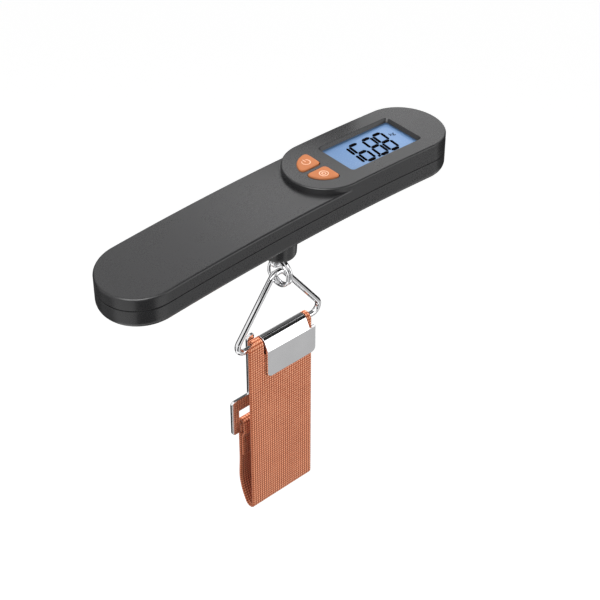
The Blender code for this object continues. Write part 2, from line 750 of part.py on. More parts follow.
def round_top(key, height):
    """Rounds the rim of a key's face."""
    bm = bmesh.new()
    bm.from_mesh(key.data)
    bevel(bm, edges_at(bm, height), BUTTON_PROUD, 2)
    bm.to_mesh(key.data)
    bm.free()


def build_load_cell():
    """Aluminium beam with a double hole, its screws and gauges."""
    middle = CELL_LOAD_END - CELL_LENGTH / 2
    mid_z = CELL_TOP - CELL_HEIGHT / 2
    beam = from_bmesh("load_cell", block((CELL_LENGTH, CELL_WIDTH, CELL_HEIGHT), (middle, 0, mid_z)),
                      material("beam_aluminium", (0.75, 0.76, 0.78), 0.35, 1.0))
    gauge_x = middle + CELL_HOLE_SPACING / 4
    holes = [cross_cylinder(CELL_HOLE_RADIUS, 2 * CELL_WIDTH, gauge_x + sign * CELL_HOLE_SPACING / 2, mid_z)
             for sign in (-1, 1)]
    slot = block((CELL_HOLE_SPACING, 2 * CELL_WIDTH, CELL_HOLE_RADIUS * 0.8), (gauge_x, 0, mid_z))
    bolts = [cylinder(SCREW_RADIUS + GAP, -1, 1, cell_screw_x(n)) for n in (0, 1)]
    cut(beam, *holes, slot, *bolts, cylinder(SHANK_RADIUS + GAP, -1, 1))
    smooth(beam.data)
    foil = material("gauge_foil", (0.7, 0.45, 0.2), 0.5)
    for name, z in (("strain_gauge_top", CELL_TOP + GAP), ("strain_gauge_bottom", CELL_TOP - CELL_HEIGHT
                                                           - GAP - GAUGE_THICK)):
        from_bmesh(name, block((GAUGE_LENGTH, GAUGE_WIDTH, GAUGE_THICK), (gauge_x, 0, z + GAUGE_THICK / 2)), foil)
    pad_bottom = INNER_FLOOR + 2 * GAP - arch_drop(cell_screw_x(0))
    for number in (0, 1):
        head_low = CELL_TOP + GAP
        turned(f"load_cell_screw_{number + 1}",
               [(0, head_low + SCREW_HEAD), (SCREW_HEAD_RADIUS * 0.8, head_low + SCREW_HEAD),
                (SCREW_HEAD_RADIUS, head_low + SCREW_HEAD / 2), (SCREW_HEAD_RADIUS, head_low),
                (SCREW_RADIUS, head_low), (SCREW_RADIUS, pad_bottom), (0, pad_bottom)],
               zinc(), SMALL_ROUND, cell_screw_x(number))


def build_pull_eye():
    """Eye bolt that hangs from the load cell through the neck, and its nut."""
    bpy.ops.mesh.primitive_torus_add(major_radius=EYE_RADIUS, minor_radius=EYE_WIRE / 2, major_segments=28,
                                     minor_segments=10, location=(0, 0, EYE_Z + EYE_RADIUS),
                                     rotation=(math.pi / 2, 0, 0))
    eye = bpy.context.object
    eye.name = "pull_eye"
    for group in list(eye.users_collection):
        group.objects.unlink(eye)
    PARTS.objects.link(eye)
    eye.data.materials.append(steel())
    nut_low = CELL_TOP + GAP
    nut_top = nut_low + NUT_HEIGHT
    shank = cylinder(SHANK_RADIUS, EYE_Z + 2 * EYE_RADIUS, nut_top + GAP / 2)
    join(eye, shank)
    smooth(eye.data)
    nut = from_bmesh("pull_eye_nut", cylinder(NUT_ACROSS / math.sqrt(3), nut_low, nut_top, segments=6), zinc())
    cut(nut, cylinder(SHANK_RADIUS + GAP, nut_low - GAP, nut_top + GAP))


def build_split_ring():
    """Two turns of wire in planes side by side, with a jog where one turn passes to the other."""
    turn = 2 * math.pi
    start, end = RING_JOG / 2, 2 * turn - RING_JOG / 2
    count = 60
    points = []
    for number in range(count + 1):
        angle = start + (end - start) * number / count
        share = min(max((angle - turn) / (RING_JOG * 0.9) + 0.5, 0.0), 1.0)
        side = (share * share * (3 - 2 * share) - 0.5) * RING_PITCH
        points.append((side, RING_RADIUS * math.cos(angle), RING_RADIUS * math.sin(angle) + ring_centre_z()))
    ring = wire("split_ring", points, RING_WIRE / 2, steel())
    move_origin(ring, (0, 0, EYE_Z))


def build_link():
    """Triangle of bent wire with a rounded top and corners."""
    top = BAR_Z + LINK_HEIGHT
    corners = ((0.0, top), (LINK_HALF_WIDTH, BAR_Z), (-LINK_HALF_WIDTH, BAR_Z))
    outline = rounded(corners, (LINK_APEX_BEND, LINK_CORNER_BEND, LINK_CORNER_BEND))
    points = [(LINK_X + p.x, LINK_Y, p.y) for p in outline]
    link = wire("triangle_link", points, LINK_RADIUS, steel(), closed=True)
    move_origin(link, (LINK_X, LINK_Y, link_apex_z() - LINK_APEX_BEND))


def plate_outline():
    """Flat pattern of the clasp's back plate and hook in (x, z), from the tongue's left root round to its right."""
    ear = BAR_Z + EAR_HEIGHT
    ear_right = TONGUE_LEFT - EAR_GAP
    arm_top = PLATE_BOTTOM + ARM_HEIGHT
    inner = HOOK_LEFT + HOOK_LIP_WIDTH
    c = HOOK_CORNER
    return [(TONGUE_LEFT, PLATE_TOP), (ear_right, PLATE_TOP), (ear_right, ear - c / 3), (ear_right - c / 3, ear),
            (PLATE_LEFT + c, ear), (PLATE_LEFT + 0.3 * c, ear - 0.3 * c), (PLATE_LEFT, ear - c),
            (PLATE_LEFT, arm_top), (HOOK_LEFT + c, arm_top), (HOOK_LEFT, arm_top - c),
            (HOOK_LEFT, FINGER_BOTTOM + c), (HOOK_LEFT + 0.3 * c, FINGER_BOTTOM + 0.3 * c),
            (HOOK_LEFT + c, FINGER_BOTTOM), (FINGER_END - c, FINGER_BOTTOM),
            (FINGER_END - 0.3 * c, FINGER_BOTTOM + 0.3 * c), (FINGER_END, FINGER_BOTTOM + c),
            (FINGER_END, FINGER_TOP - c), (FINGER_END - 0.3 * c, FINGER_TOP - 0.3 * c), (FINGER_END - c, FINGER_TOP),
            (inner, FINGER_TOP), (inner, PLATE_BOTTOM), (PLATE_RIGHT - c, PLATE_BOTTOM),
            (PLATE_RIGHT, PLATE_BOTTOM + c), (PLATE_RIGHT, PLATE_TOP), (TONGUE_RIGHT, PLATE_TOP)]


def tongue_section():
    """Section of the tongue in (y, z) from the plate's top edge over the bar to the lip's crease."""
    bar = Vector((LINK_Y, BAR_Z))
    back = Vector((PLATE_Y, PLATE_TOP))
    front = Vector((LINK_Y - LIP_FORWARD, BAR_Z - LIP_CREASE))
    angles = []
    for place, side in ((back, 1), (front, -1)):
        away = place - bar
        angles.append(math.atan2(away.y, away.x) + side * math.acos(CLASP_ROLL / away.length))
    first, last = angles[0], angles[1] + 2 * math.pi
    return [*arc(bar, CLASP_ROLL, first, last, 8), front]


def build_clasp():
    """Stamped steel clasp: a back plate cut to a hook, whose tongue bends over the bar to a flat front lip."""
    bm = bmesh.new()
    verts = [bm.verts.new((x, PLATE_Y, z)) for x, z in plate_outline()]
    bm.faces.new(verts)
    left, right = verts[0], verts[-1]
    for y, z in tongue_section():
        pair = [bm.verts.new((x, y, z)) for x in (TONGUE_LEFT, TONGUE_RIGHT)]
        bm.faces.new((left, right, pair[1], pair[0]))
        left, right = pair
    y, top = right.co.y, right.co.z
    c = LIP_CORNER
    low = top - LIP_HEIGHT
    plan = ((LIP_RIGHT, top), (LIP_RIGHT, low + c), (LIP_RIGHT - 0.3 * c, low + 0.3 * c), (LIP_RIGHT - c, low),
            (TONGUE_LEFT + c, low), (TONGUE_LEFT + 0.3 * c, low + 0.3 * c), (TONGUE_LEFT, low + c))
    bm.faces.new([left, right, *(bm.verts.new((x, y, z)) for x, z in plan)])
    clasp = from_bmesh("clasp", bm, steel())
    thicken(clasp, CLASP_THICK)
    move_origin(clasp, (0, LINK_Y, BAR_Z))


def bezier(start, first, second, end, steps):
    """Points of a cubic curve, without its first point."""
    points = []
    for step in range(1, steps + 1):
        t = step / steps
        points.append(start * (1 - t) ** 3 + first * 3 * t * (1 - t) ** 2 + second * 3 * t * t * (1 - t)
                      + end * t ** 3)
    return points


def arc(middle, radius, first, last, steps):
    """Points of an arc, by its first and last angles."""
    angles = [first + (last - first) * step / steps for step in range(steps + 1)]
    return [middle + radius * Vector((math.cos(a), math.sin(a))) for a in angles]


def strap_path():
    """The webbing's course in (y, z): sewn tail, loop over the bar, front run, fold, back run, end loop, flap."""
    layer = STRAP_THICK + GAP
    bar = Vector((LINK_Y, BAR_Z))
    tail_y = FRONT_Y + layer
    tail_top = Vector((tail_y, BAR_Z - 4 * STRAP_ROLL))
    behind = Vector((LINK_Y + STRAP_ROLL, BAR_Z))
    pull = Vector((0.0, 1.6 * STRAP_ROLL))
    path = [Vector((tail_y, tail_top.y - STRAP_TAIL + 4 * STRAP_ROLL)), tail_top]
    path += bezier(tail_top, tail_top + pull, behind - pull, behind, 6)
    path += arc(bar, STRAP_ROLL, 0.0, math.pi, 10)[1:]
    fold = Vector((FRONT_Y + STRAP_FOLD_RADIUS, BAR_Z - STRAP_DROP + STRAP_THICK / 2 + STRAP_FOLD_RADIUS))
    path += arc(fold, STRAP_FOLD_RADIUS, math.pi, math.radians(330), 7)
    end = path[-1]
    rise = Vector((0.5, 0.866)) * STRAP_BACK_RISE / 3
    back = Vector((PLATE_Y + STRAP_BACK_OFFSET, end.y + STRAP_BACK_RISE))
    path += bezier(end, end + rise, back - Vector((0, STRAP_BACK_RISE / 3)), back, 9)
    roll = CLASP_THICK / 2 + EYE_SLACK + STRAP_THICK / 2
    rear = Vector((PLATE_Y + roll, FINGER_BOTTOM))
    low = Vector((back.x, rear.y - STRAP_SETTLE))
    bend = Vector((0, STRAP_SETTLE / 2))
    path.append(low)
    path += bezier(low, low + bend, rear - bend, rear, 5)
    path += arc(Vector((PLATE_Y, FINGER_TOP + EYE_SLACK - CLASP_THICK / 2)), roll, 0.0, math.pi, 8)
    flap = Vector((back.x - layer, low.y))
    front = Vector((PLATE_Y - roll, rear.y))
    path.append(front)
    path += bezier(front, front - bend, flap + bend, flap, 5)
    path.append(flap - Vector((0, STRAP_FLAP)))
    return path


def build_strap():
    """One length of webbing: a window in its top loop lets the clasp through, its end loop is on the hook's finger."""
    bm = bmesh.new()
    verts = [bm.verts.new((-STRAP_WIDTH / 2, p.x, p.y)) for p in strap_path()]
    edges = [bm.edges.new(pair) for pair in zip(verts, verts[1:])]
    grown = bmesh.ops.extrude_edge_only(bm, edges=edges)
    far = [v for v in grown["geom"] if isinstance(v, bmesh.types.BMVert)]
    bmesh.ops.translate(bm, verts=far, vec=(STRAP_WIDTH, 0, 0))
    # The loop and the tail are turned in from the left edge of the front run
    for vert in verts:
        if vert.co.z > BAR_Z - STRAP_TAIL - GAP:
            vert.co.x += STRAP_TUCK * min(1.0, (vert.co.y - FRONT_Y) / (STRAP_THICK + GAP))
    strap = from_bmesh("strap", bm, material("orange_webbing", (0.62, 0.22, 0.12), 0.85))
    thicken(strap, STRAP_THICK)
    length = TONGUE_RIGHT - TONGUE_LEFT + 2 * WINDOW_SIDE_GAP
    high = 4 * STRAP_ROLL
    cut(strap, block((length, 4 * STRAP_ROLL, high), ((TONGUE_LEFT + TONGUE_RIGHT) / 2, LINK_Y,
                                                     BAR_Z - WINDOW_DROP + high / 2)))
    smooth(strap.data)
    move_origin(strap, (0, LINK_Y, BAR_Z))


def build_case_screws():
    """Four screws from below, their heads sunk in the lower shell."""
    for number, (x, y) in enumerate(SCREW_PLACES):
        head_low = BODY_BOTTOM + SCREW_SINK - arch_drop(x)
        head_top = head_low + SCREW_HEAD - GAP
        tip = HANDLE_ROOF - 2 * GAP - arch_drop(x)
        turned(f"case_screw_{number + 1}",
               [(0, tip), (SCREW_RADIUS, tip), (SCREW_RADIUS, head_top), (SCREW_HEAD_RADIUS, head_top),
                (SCREW_HEAD_RADIUS, head_low), (0, head_low)], zinc(), SMALL_ROUND, x, y)


build_upper_cover()
build_lower_cover()
build_battery()
build_display()
build_buttons()
build_load_cell()
build_pull_eye()
build_split_ring()
build_link()
build_clasp()
build_strap()
build_case_screws()
print("bar", LINK_Y, BAR_Z, "apex", link_apex_z(), "eye", EYE_Z)
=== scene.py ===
"""Looks of a digital luggage scale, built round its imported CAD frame.

Sizes are in metres in the frame of the CAD: X along the body towards the display, -Y towards the
reader, Z up, with the origin in the middle of the body on its parting line.
"""

from __future__ import annotations

import logging
import math
from dataclasses import dataclass, field
from enum import Enum
from typing import Sequence, Union

import bmesh
import bpy
from bmesh.types import BMEdge, BMesh, BMFace, BMVert
from bpy.types import ID, Material, Mesh, Node, NodeSocket, Object, World
from mathutils import Matrix, Vector


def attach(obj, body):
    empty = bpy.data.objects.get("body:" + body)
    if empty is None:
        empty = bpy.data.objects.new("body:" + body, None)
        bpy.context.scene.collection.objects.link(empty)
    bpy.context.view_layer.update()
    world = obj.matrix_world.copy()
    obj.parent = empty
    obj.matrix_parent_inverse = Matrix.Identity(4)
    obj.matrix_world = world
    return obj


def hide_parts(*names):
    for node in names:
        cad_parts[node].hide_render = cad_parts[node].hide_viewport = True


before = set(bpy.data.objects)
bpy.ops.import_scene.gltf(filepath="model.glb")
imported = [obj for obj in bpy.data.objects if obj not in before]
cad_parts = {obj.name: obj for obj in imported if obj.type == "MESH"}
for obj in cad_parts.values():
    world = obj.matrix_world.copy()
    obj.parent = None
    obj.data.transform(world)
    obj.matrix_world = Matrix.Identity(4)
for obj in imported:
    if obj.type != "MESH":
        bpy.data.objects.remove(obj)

LOG = logging.getLogger("luggage_scale")
MM = 0.001
NEAR = 1e-7
NOISE = (0.3, 0.7)
WHITE = (1.0, 1.0, 1.0)
BLACK = (0.0, 0.0, 0.0)

Pair = tuple[float, float]
Triple = tuple[float, float, float]
Colour = Triple
Rounding = tuple[float, int]
Steps = Sequence[tuple[str, BMesh]]
Stand = tuple[str, Triple, Triple, float, float]


class Body(str, Enum):
    """CAD bodies that pieces ride on."""

    HOUSING = "housing"
    POWER_KEY = "power_key"
    TARE_KEY = "tare_key"
    RING = "ring"
    LINK = "link"
    STRAP_SET = "strap_set"


class Wire:
    """A shader socket that takes part in Python sums, each of which adds a Math node."""

    def __init__(self, graph: Graph, socket: NodeSocket) -> None:
        """Keeps the graph and the socket."""
        self.graph = graph
        self.socket = socket

    def output(self, key: Union[int, str]) -> Wire:
        """Another output of the same node."""
        return Wire(self.graph, self.socket.node.outputs[key])

    def _sum(self, operation: str, first: Number, second: Number) -> Wire:
        """Adds a Math node with two values or links."""
        return self.graph.node("ShaderNodeMath", {"operation": operation}, {0: first, 1: second})

    def __add__(self, other: Number) -> Wire:
        """Sum."""
        return self._sum("ADD", self, other)

    __radd__ = __add__

    def __mul__(self, other: Number) -> Wire:
        """Product."""
        return self._sum("MULTIPLY", self, other)

    __rmul__ = __mul__

    def __sub__(self, other: Number) -> Wire:
        """Difference."""
        return self._sum("SUBTRACT", self, other)

    def __rsub__(self, other: Number) -> Wire:
        """Difference from a number."""
        return self._sum("SUBTRACT", other, self)

    def __pow__(self, other: Number) -> Wire:
        """Power."""
        return self._sum("POWER", self, other)

    def sine(self) -> Wire:
        """Sine."""
        return self._sum("SINE", self, 0.0)

    def absolute(self) -> Wire:
        """Absolute value."""
        return self._sum("ABSOLUTE", self, 0.0)


Number = Union[Wire, float]


class Graph:
    """The node tree of a material or the world."""

    def __init__(self, holder: Union[Material, World]) -> None:
        """Starts the nodes.

        Args:
            holder: a new material or world, with only its shader and output.
        """
        holder.use_nodes = True
        self.tree = holder.node_tree
        shaders = ("BSDF_PRINCIPLED", "BACKGROUND")
        self.shader = next(n for n in self.tree.nodes if n.type in shaders)

    def node(self, kind: str, settings: dict, sockets: dict, out: Union[int, str] = 0) -> Wire:
        """Adds a node.

        Args:
            kind: the node's type.
            settings: its properties; "stops" fills a colour ramp.
            sockets: values or links by the input's name or number.
            out: the output that is wanted.

        Returns:
            That output.
        """
        made = self.tree.nodes.new(kind)
        for key, value in settings.items():
            if key == "stops":
                self._stops(made, value)
            else:
                setattr(made, key, value)
        for key, value in sockets.items():
            self.feed(made.inputs[key], value)
        return Wire(self, made.outputs[out])

    @staticmethod
    def _stops(ramp: Node, stops: Sequence[tuple[float, Colour]]) -> None:
        """Sets a ramp's stops.

        Args:
            ramp: the Color Ramp node.
            stops: places and colours.
        """
        elements = ramp.color_ramp.elements
        while len(elements) < len(stops):
            elements.new(0.5)
        for element, (place, colour) in zip(elements, stops):
            element.position = place
            element.color = (*colour, 1.0)

    def feed(self, socket: NodeSocket, value: object) -> None:
        """Links a wire to a socket, or sets its value.

        Args:
            socket: the input.
            value: a wire, a number, a vector or a colour.
        """
        if isinstance(value, Wire):
            self.tree.links.new(value.socket, socket)
        elif socket.type == "RGBA":
            socket.default_value = (*value, 1.0)
        else:
            socket.default_value = value

    def set(self, **sockets: object) -> None:
        """Sets the shader's sockets, named with _ for a space."""
        for key, value in sockets.items():
            self.feed(self.shader.inputs[key.replace("_", " ")], value)

    def place(self) -> Wire:
        """Object coordinates."""
        return self.node("ShaderNodeTexCoord", {}, {}, "Object")

    def axes(self, vector: Wire) -> list[Wire]:
        """The three parts of a vector."""
        parts = self.node("ShaderNodeSeparateXYZ", {}, {0: vector})
        return [parts.output(number) for number in range(3)]

    def stretched(self, vector: Wire, scale: Triple) -> Wire:
        """Scales a vector along each axis."""
        return self.node("ShaderNodeVectorMath", {"operation": "MULTIPLY"}, {0: vector, 1: scale})

    def noise(self, vector: Wire, scale: float, detail: float = 3.0) -> Wire:
        """Noise from 0 to 1 with a scale in cycles a metre."""
        return self.node("ShaderNodeTexNoise", {}, {"Vector": vector, "Scale": scale, "Detail": detail})

    def ramp(self, value: Wire, stops: Sequence[tuple[float, Colour]]) -> Wire:
        """A colour ramp."""
        return self.node("ShaderNodeValToRGB", {"stops": stops}, {0: value})

    def span(self, value: Wire, source: Pair, target: Pair) -> Wire:
        """Maps a range to another, clamped."""
        ends = dict(zip(("From Min", "From Max", "To Min", "To Max"), (*source, *target)))
        return self.node("ShaderNodeMapRange", {}, {"Value": value, **ends})

    def bump(self, height: Wire, distance: float, strength: float) -> Wire:
        """A bump of a height in metres, as a normal."""
        sockets = {"Height": height, "Distance": distance, "Strength": strength}
        return self.node("ShaderNodeBump", {}, sockets, "Normal")

    def seen(self) -> Wire:
        """1 where the camera sees a surface, straight or by gloss or glass.

        Returns:
            The mask.
        """
        path = self.node("ShaderNodeLightPath", {}, {})
        kinds = ("Camera", "Glossy", "Transmission")
        camera, gloss, glass = (path.output(f"Is {kind} Ray") for kind in kinds)
        return self.span(camera + gloss + glass, (0.0, 1.0), (0.0, 1.0))


@dataclass(frozen=True)
class Finish:
    """A named finish, to which each kind adds its own nodes."""

    name: str

    def make(self) -> Material:
        """Builds the material.

        Returns:
            The material.
        """
        made = bpy.data.materials.new(self.name)
        self.lay(Graph(made))
        return made

    def lay(self, g: Graph) -> None:
        """Adds the nodes to a graph."""
        raise NotImplementedError(self.name)


@dataclass(frozen=True)
class MouldedPlastic(Finish):
    """Spark-eroded matt plastic: fine grain, faint mottling and a soft sheen."""

    colour: Colour
    roughness: float = 0.46
    mottle: float = 0.04
    grain: float = 3200.0
    grain_depth: float = 0.0000012
    shine: float = 0.13
    cloud: float = 60.0
    spread: float = 0.03
    relief: float = 0.6

    def lay(self, g: Graph) -> None:
        """Adds the nodes.

        Args:
            g: the material's graph.
        """
        place = g.place()
        cloud = g.noise(place, self.cloud, 2.0)
        fine = g.noise(place, self.grain, 2.0)
        low = tuple(c * (1 - self.mottle) for c in self.colour)
        high = tuple(c * (1 + self.mottle) for c in self.colour)
        rough = (self.roughness - self.spread, self.roughness + self.spread)
        g.set(Base_Color=g.ramp(cloud * 0.7 + fine * 0.3, [(0.25, low), (0.75, high)]),
              Roughness=g.span(cloud * 0.5 + fine * 0.5, NOISE, rough),
              Specular_IOR_Level=self.shine, Normal=g.bump(fine, self.grain_depth, self.relief))


@dataclass(frozen=True)
class PlatedSteel(Finish):
    """Bright nickel plate with hair-fine rubbing marks."""

    colour: Colour = (0.86, 0.86, 0.87)
    roughness: float = 0.1
    grain: Triple = (90.0, 900.0, 900.0)
    depth: float = 0.000002
    cloud: float = 140.0
    dull: float = 0.95
    spread: Pair = (0.75, 1.3)
    relief: float = 0.35

    def lay(self, g: Graph) -> None:
        """Adds the nodes.

        Args:
            g: the material's graph.
        """
        place = g.place()
        rub = g.noise(g.stretched(place, self.grain), 1.0)
        cloud = g.noise(place, self.cloud, 2.0)
        tint = tuple(c * self.dull for c in self.colour)
        least, most = (self.roughness * share for share in self.spread)
        g.set(Base_Color=g.ramp(cloud, list(zip(NOISE, (tint, self.colour)))), Metallic=1.0,
              Roughness=g.span(rub * 0.6 + cloud * 0.4, NOISE, (least, most)),
              Normal=g.bump(rub, self.depth, self.relief))


@dataclass(frozen=True)
class PlainWeave(Finish):
    """Plain-woven webbing that reads a UV map in metres: across the strap, then along it. Its colour has
    painted shade between the threads and a painted highlight on their tops.
    """

    # gap: painted shade, the dark colour where the threads part
    gap: Colour = (0.16, 0.028, 0.01)
    thread: Colour = (0.74, 0.18, 0.068)
    # crown: painted highlight, the pale colour on the tops of the threads; thread is the dye
    crown: Colour = (1.0, 0.5, 0.3)
    pitch: float = 0.0011
    depth: float = 0.00016
    fuzz: float = 2600.0
    cloud: float = 90.0
    relief: float = 0.9

    def lay(self, g: Graph) -> None:
        """Adds the nodes.

        Args:
            g: the material's graph.
        """
        across, along, _ = g.axes(g.node("ShaderNodeTexCoord", {}, {}, "UV"))
        fuzz = g.noise(g.place(), self.fuzz)
        cloud = g.noise(g.place(), self.cloud, 2.0)
        rate = math.pi / self.pitch
        row = (along * rate).sine()
        column = (across * rate).sine()
        cell = row.absolute() * column.absolute()
        over = g.span(row * column, (-0.2, 0.2), (0.0, 1.0))
        height = cell ** 0.6 * (over * 0.1 + 0.9) + fuzz * 0.12
        # the cell term paints shade into the gaps and a highlight on the thread tops; fuzz and cloud vary
        # the tone at random
        shade = cell ** 0.9 * 0.86 + over * 0.03 + fuzz * 0.16 + cloud * 0.14 - 0.105
        g.set(Base_Color=g.ramp(shade, [(0.08, self.gap), (0.36, self.thread), (0.85, self.crown)]),
              Roughness=g.span(height, (0.2, 1.0), (0.92, 0.7)),
              Sheen_Weight=0.25, Sheen_Roughness=0.4, Specular_IOR_Level=0.3,
              Normal=g.bump(height, self.depth, self.relief))


@dataclass(frozen=True)
class BacklitGlass(Finish):
    """Display glass over a blue backlight that grows a little paler away from the keys."""

    near: Colour = (0.1, 0.176, 0.315)
    far: Colour = (0.113, 0.198, 0.355)
    glow: float = 0.25
    cells: float = 2400.0
    slant: float = 1.2
    reach: Pair = (0.022, 0.07)

    def lay(self, g: Graph) -> None:
        """Adds the nodes.

        Args:
            g: the material's graph.
        """
        place = g.place()
        x, y, _ = g.axes(place)
        cells = g.noise(place, self.cells, 1.0)
        fade = g.span(x - y * self.slant, self.reach, (0.0, 1.0)) + cells * 0.12
        tone = g.ramp(fade, [(0.05, self.near), (0.95, self.far)])
        g.set(Base_Color=tone, Emission_Color=tone, Emission_Strength=self.glow, Coat_Weight=0.08,
              Coat_Roughness=0.08, Specular_IOR_Level=0.2, Roughness=g.span(cells, NOISE, (0.2, 0.28)))


@dataclass(frozen=True)
class GrainedSolid(Finish):
    """A plain finish with a fine grain that can be stretched along an axis."""

    colour: Colour
    other: Colour
    roughness: float = 0.4
    metallic: float = 0.0
    grain: Triple = (900.0, 900.0, 900.0)
    depth: float = 0.00001
    shine: float = 0.5
    spread: Pair = (0.85, 1.15)
    relief: float = 0.5

    def lay(self, g: Graph) -> None:
        """Adds the nodes.

        Args:
            g: the material's graph.
        """
        grain = g.noise(g.stretched(g.place(), self.grain), 1.0)
        least, most = (self.roughness * share for share in self.spread)
        g.set(Base_Color=g.ramp(grain, list(zip(NOISE, (self.other, self.colour)))),
              Metallic=self.metallic, Specular_IOR_Level=self.shine,
              Roughness=g.span(grain, NOISE, (least, most)),
              Normal=g.bump(grain, self.depth, self.relief))


@dataclass(frozen=True)
class CardGlow(Finish):
    """A plain glow for a card that only reflections see."""

    shade: float = 1.0

    def lay(self, g: Graph) -> None:
        """Sets the shader."""
        g.set(Base_Color=BLACK, Roughness=1.0, Specular_IOR_Level=0.0,
              Emission_Color=WHITE, Emission_Strength=self.shade)


@dataclass(frozen=True)
class PaleFloor(Finish):
    """A pale floor that reads white to the camera and in reflections."""

    albedo: float = 0.55
    glow: float = 0.75

    def lay(self, g: Graph) -> None:
        """Sets the shader."""
        g.set(Base_Color=(self.albedo,) * 3, Roughness=0.9, Specular_IOR_Level=0.1,
              Emission_Color=WHITE, Emission_Strength=g.seen() * self.glow)


class Finishes:
    """Every material of the scale, made once."""

    def __init__(self) -> None:
        """Builds the materials."""
        self.shell = MouldedPlastic("shell_grain", (0.025, 0.025, 0.026), 0.28, shine=0.44).make()
        self.key = MouldedPlastic("key_orange", (0.43, 0.15, 0.058), 0.42, grain=2600.0,
                                  grain_depth=0.000002, shine=0.12).make()
        self.steel = PlatedSteel("bright_plate").make()
        self.wire = PlatedSteel("bright_wire", (0.82, 0.82, 0.83), 0.07, (700.0, 700.0, 700.0)).make()
        self.webbing = PlainWeave("orange_weave").make()
        self.thread = GrainedSolid("seam_thread", (0.62, 0.25, 0.13), (0.42, 0.13, 0.06), 0.8).make()
        self.glass = BacklitGlass("blue_glass").make()
        self.ink = GrainedSolid("digit_ink", (0.002, 0.002, 0.003), (0.004, 0.004, 0.005), 0.6,
                                shine=0.0).make()
        self.print = GrainedSolid("key_print", (0.84, 0.54, 0.4), (0.74, 0.44, 0.3), 0.5).make()
        self.zinc = GrainedSolid("zinc_plate", (0.66, 0.66, 0.68), (0.5, 0.5, 0.53), 0.32, 1.0).make()
        self.inside: dict[str, Material] = {"battery_door": self.shell, "lcd_panel": self.glass}
        screws = ("pull_eye_nut", "load_cell_screw_1", "load_cell_screw_2")
        self.inside.update(dict.fromkeys(screws, self.zinc))
        self._line_inside()

    def _line_inside(self) -> None:
        """Makes the finishes of the other CAD nodes that stay, all inside the body."""
        plain = (
            (GrainedSolid("frosted_guide", (0.86, 0.89, 0.95), (0.78, 0.82, 0.9), 0.5), "backlight_panel"),
            (GrainedSolid("zebra_strip", (0.6, 0.5, 0.52), (0.05, 0.05, 0.05), 0.7, 0.0,
                          (6000.0, 40.0, 40.0)), "zebra_connector"),
            (GrainedSolid("solder_mask", (0.02, 0.19, 0.07), (0.03, 0.26, 0.1), 0.4, 0.0,
                          (260.0, 700.0, 260.0)), "circuit_board"),
            (GrainedSolid("chip_epoxy", (0.02, 0.02, 0.02), (0.035, 0.035, 0.035), 0.55), "controller_chip"),
            (GrainedSolid("milled_aluminium", (0.78, 0.79, 0.8), (0.64, 0.65, 0.67), 0.34, 1.0,
                          (60.0, 2200.0, 2200.0)), "load_cell"),
            (GrainedSolid("cell_steel", (0.74, 0.74, 0.74), (0.62, 0.62, 0.63), 0.28, 1.0), "coin_cell"),
            (GrainedSolid("gauge_film", (0.72, 0.45, 0.18), (0.55, 0.3, 0.1), 0.4, 0.0,
                          (300.0, 4000.0, 300.0)), "strain_gauge_top", "strain_gauge_bottom"),
            (GrainedSolid("contact_strip", (0.78, 0.72, 0.56), (0.66, 0.6, 0.44), 0.3, 1.0),
             "contact_positive", "contact_negative"),
            (GrainedSolid("switch_black", (0.03, 0.03, 0.03), (0.05, 0.05, 0.05), 0.5),
             "power_switch", "tare_switch"))
        for finish, *nodes in plain:
            self.inside.update(dict.fromkeys(nodes, finish.make()))

    def dress_frame(self) -> None:
        """Gives each CAD node that stays its finish."""
        for node, made in self.inside.items():
            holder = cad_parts[node]
            holder.data.materials.clear()
            holder.data.materials.append(made)
            LOG.info("dressed %s", node)


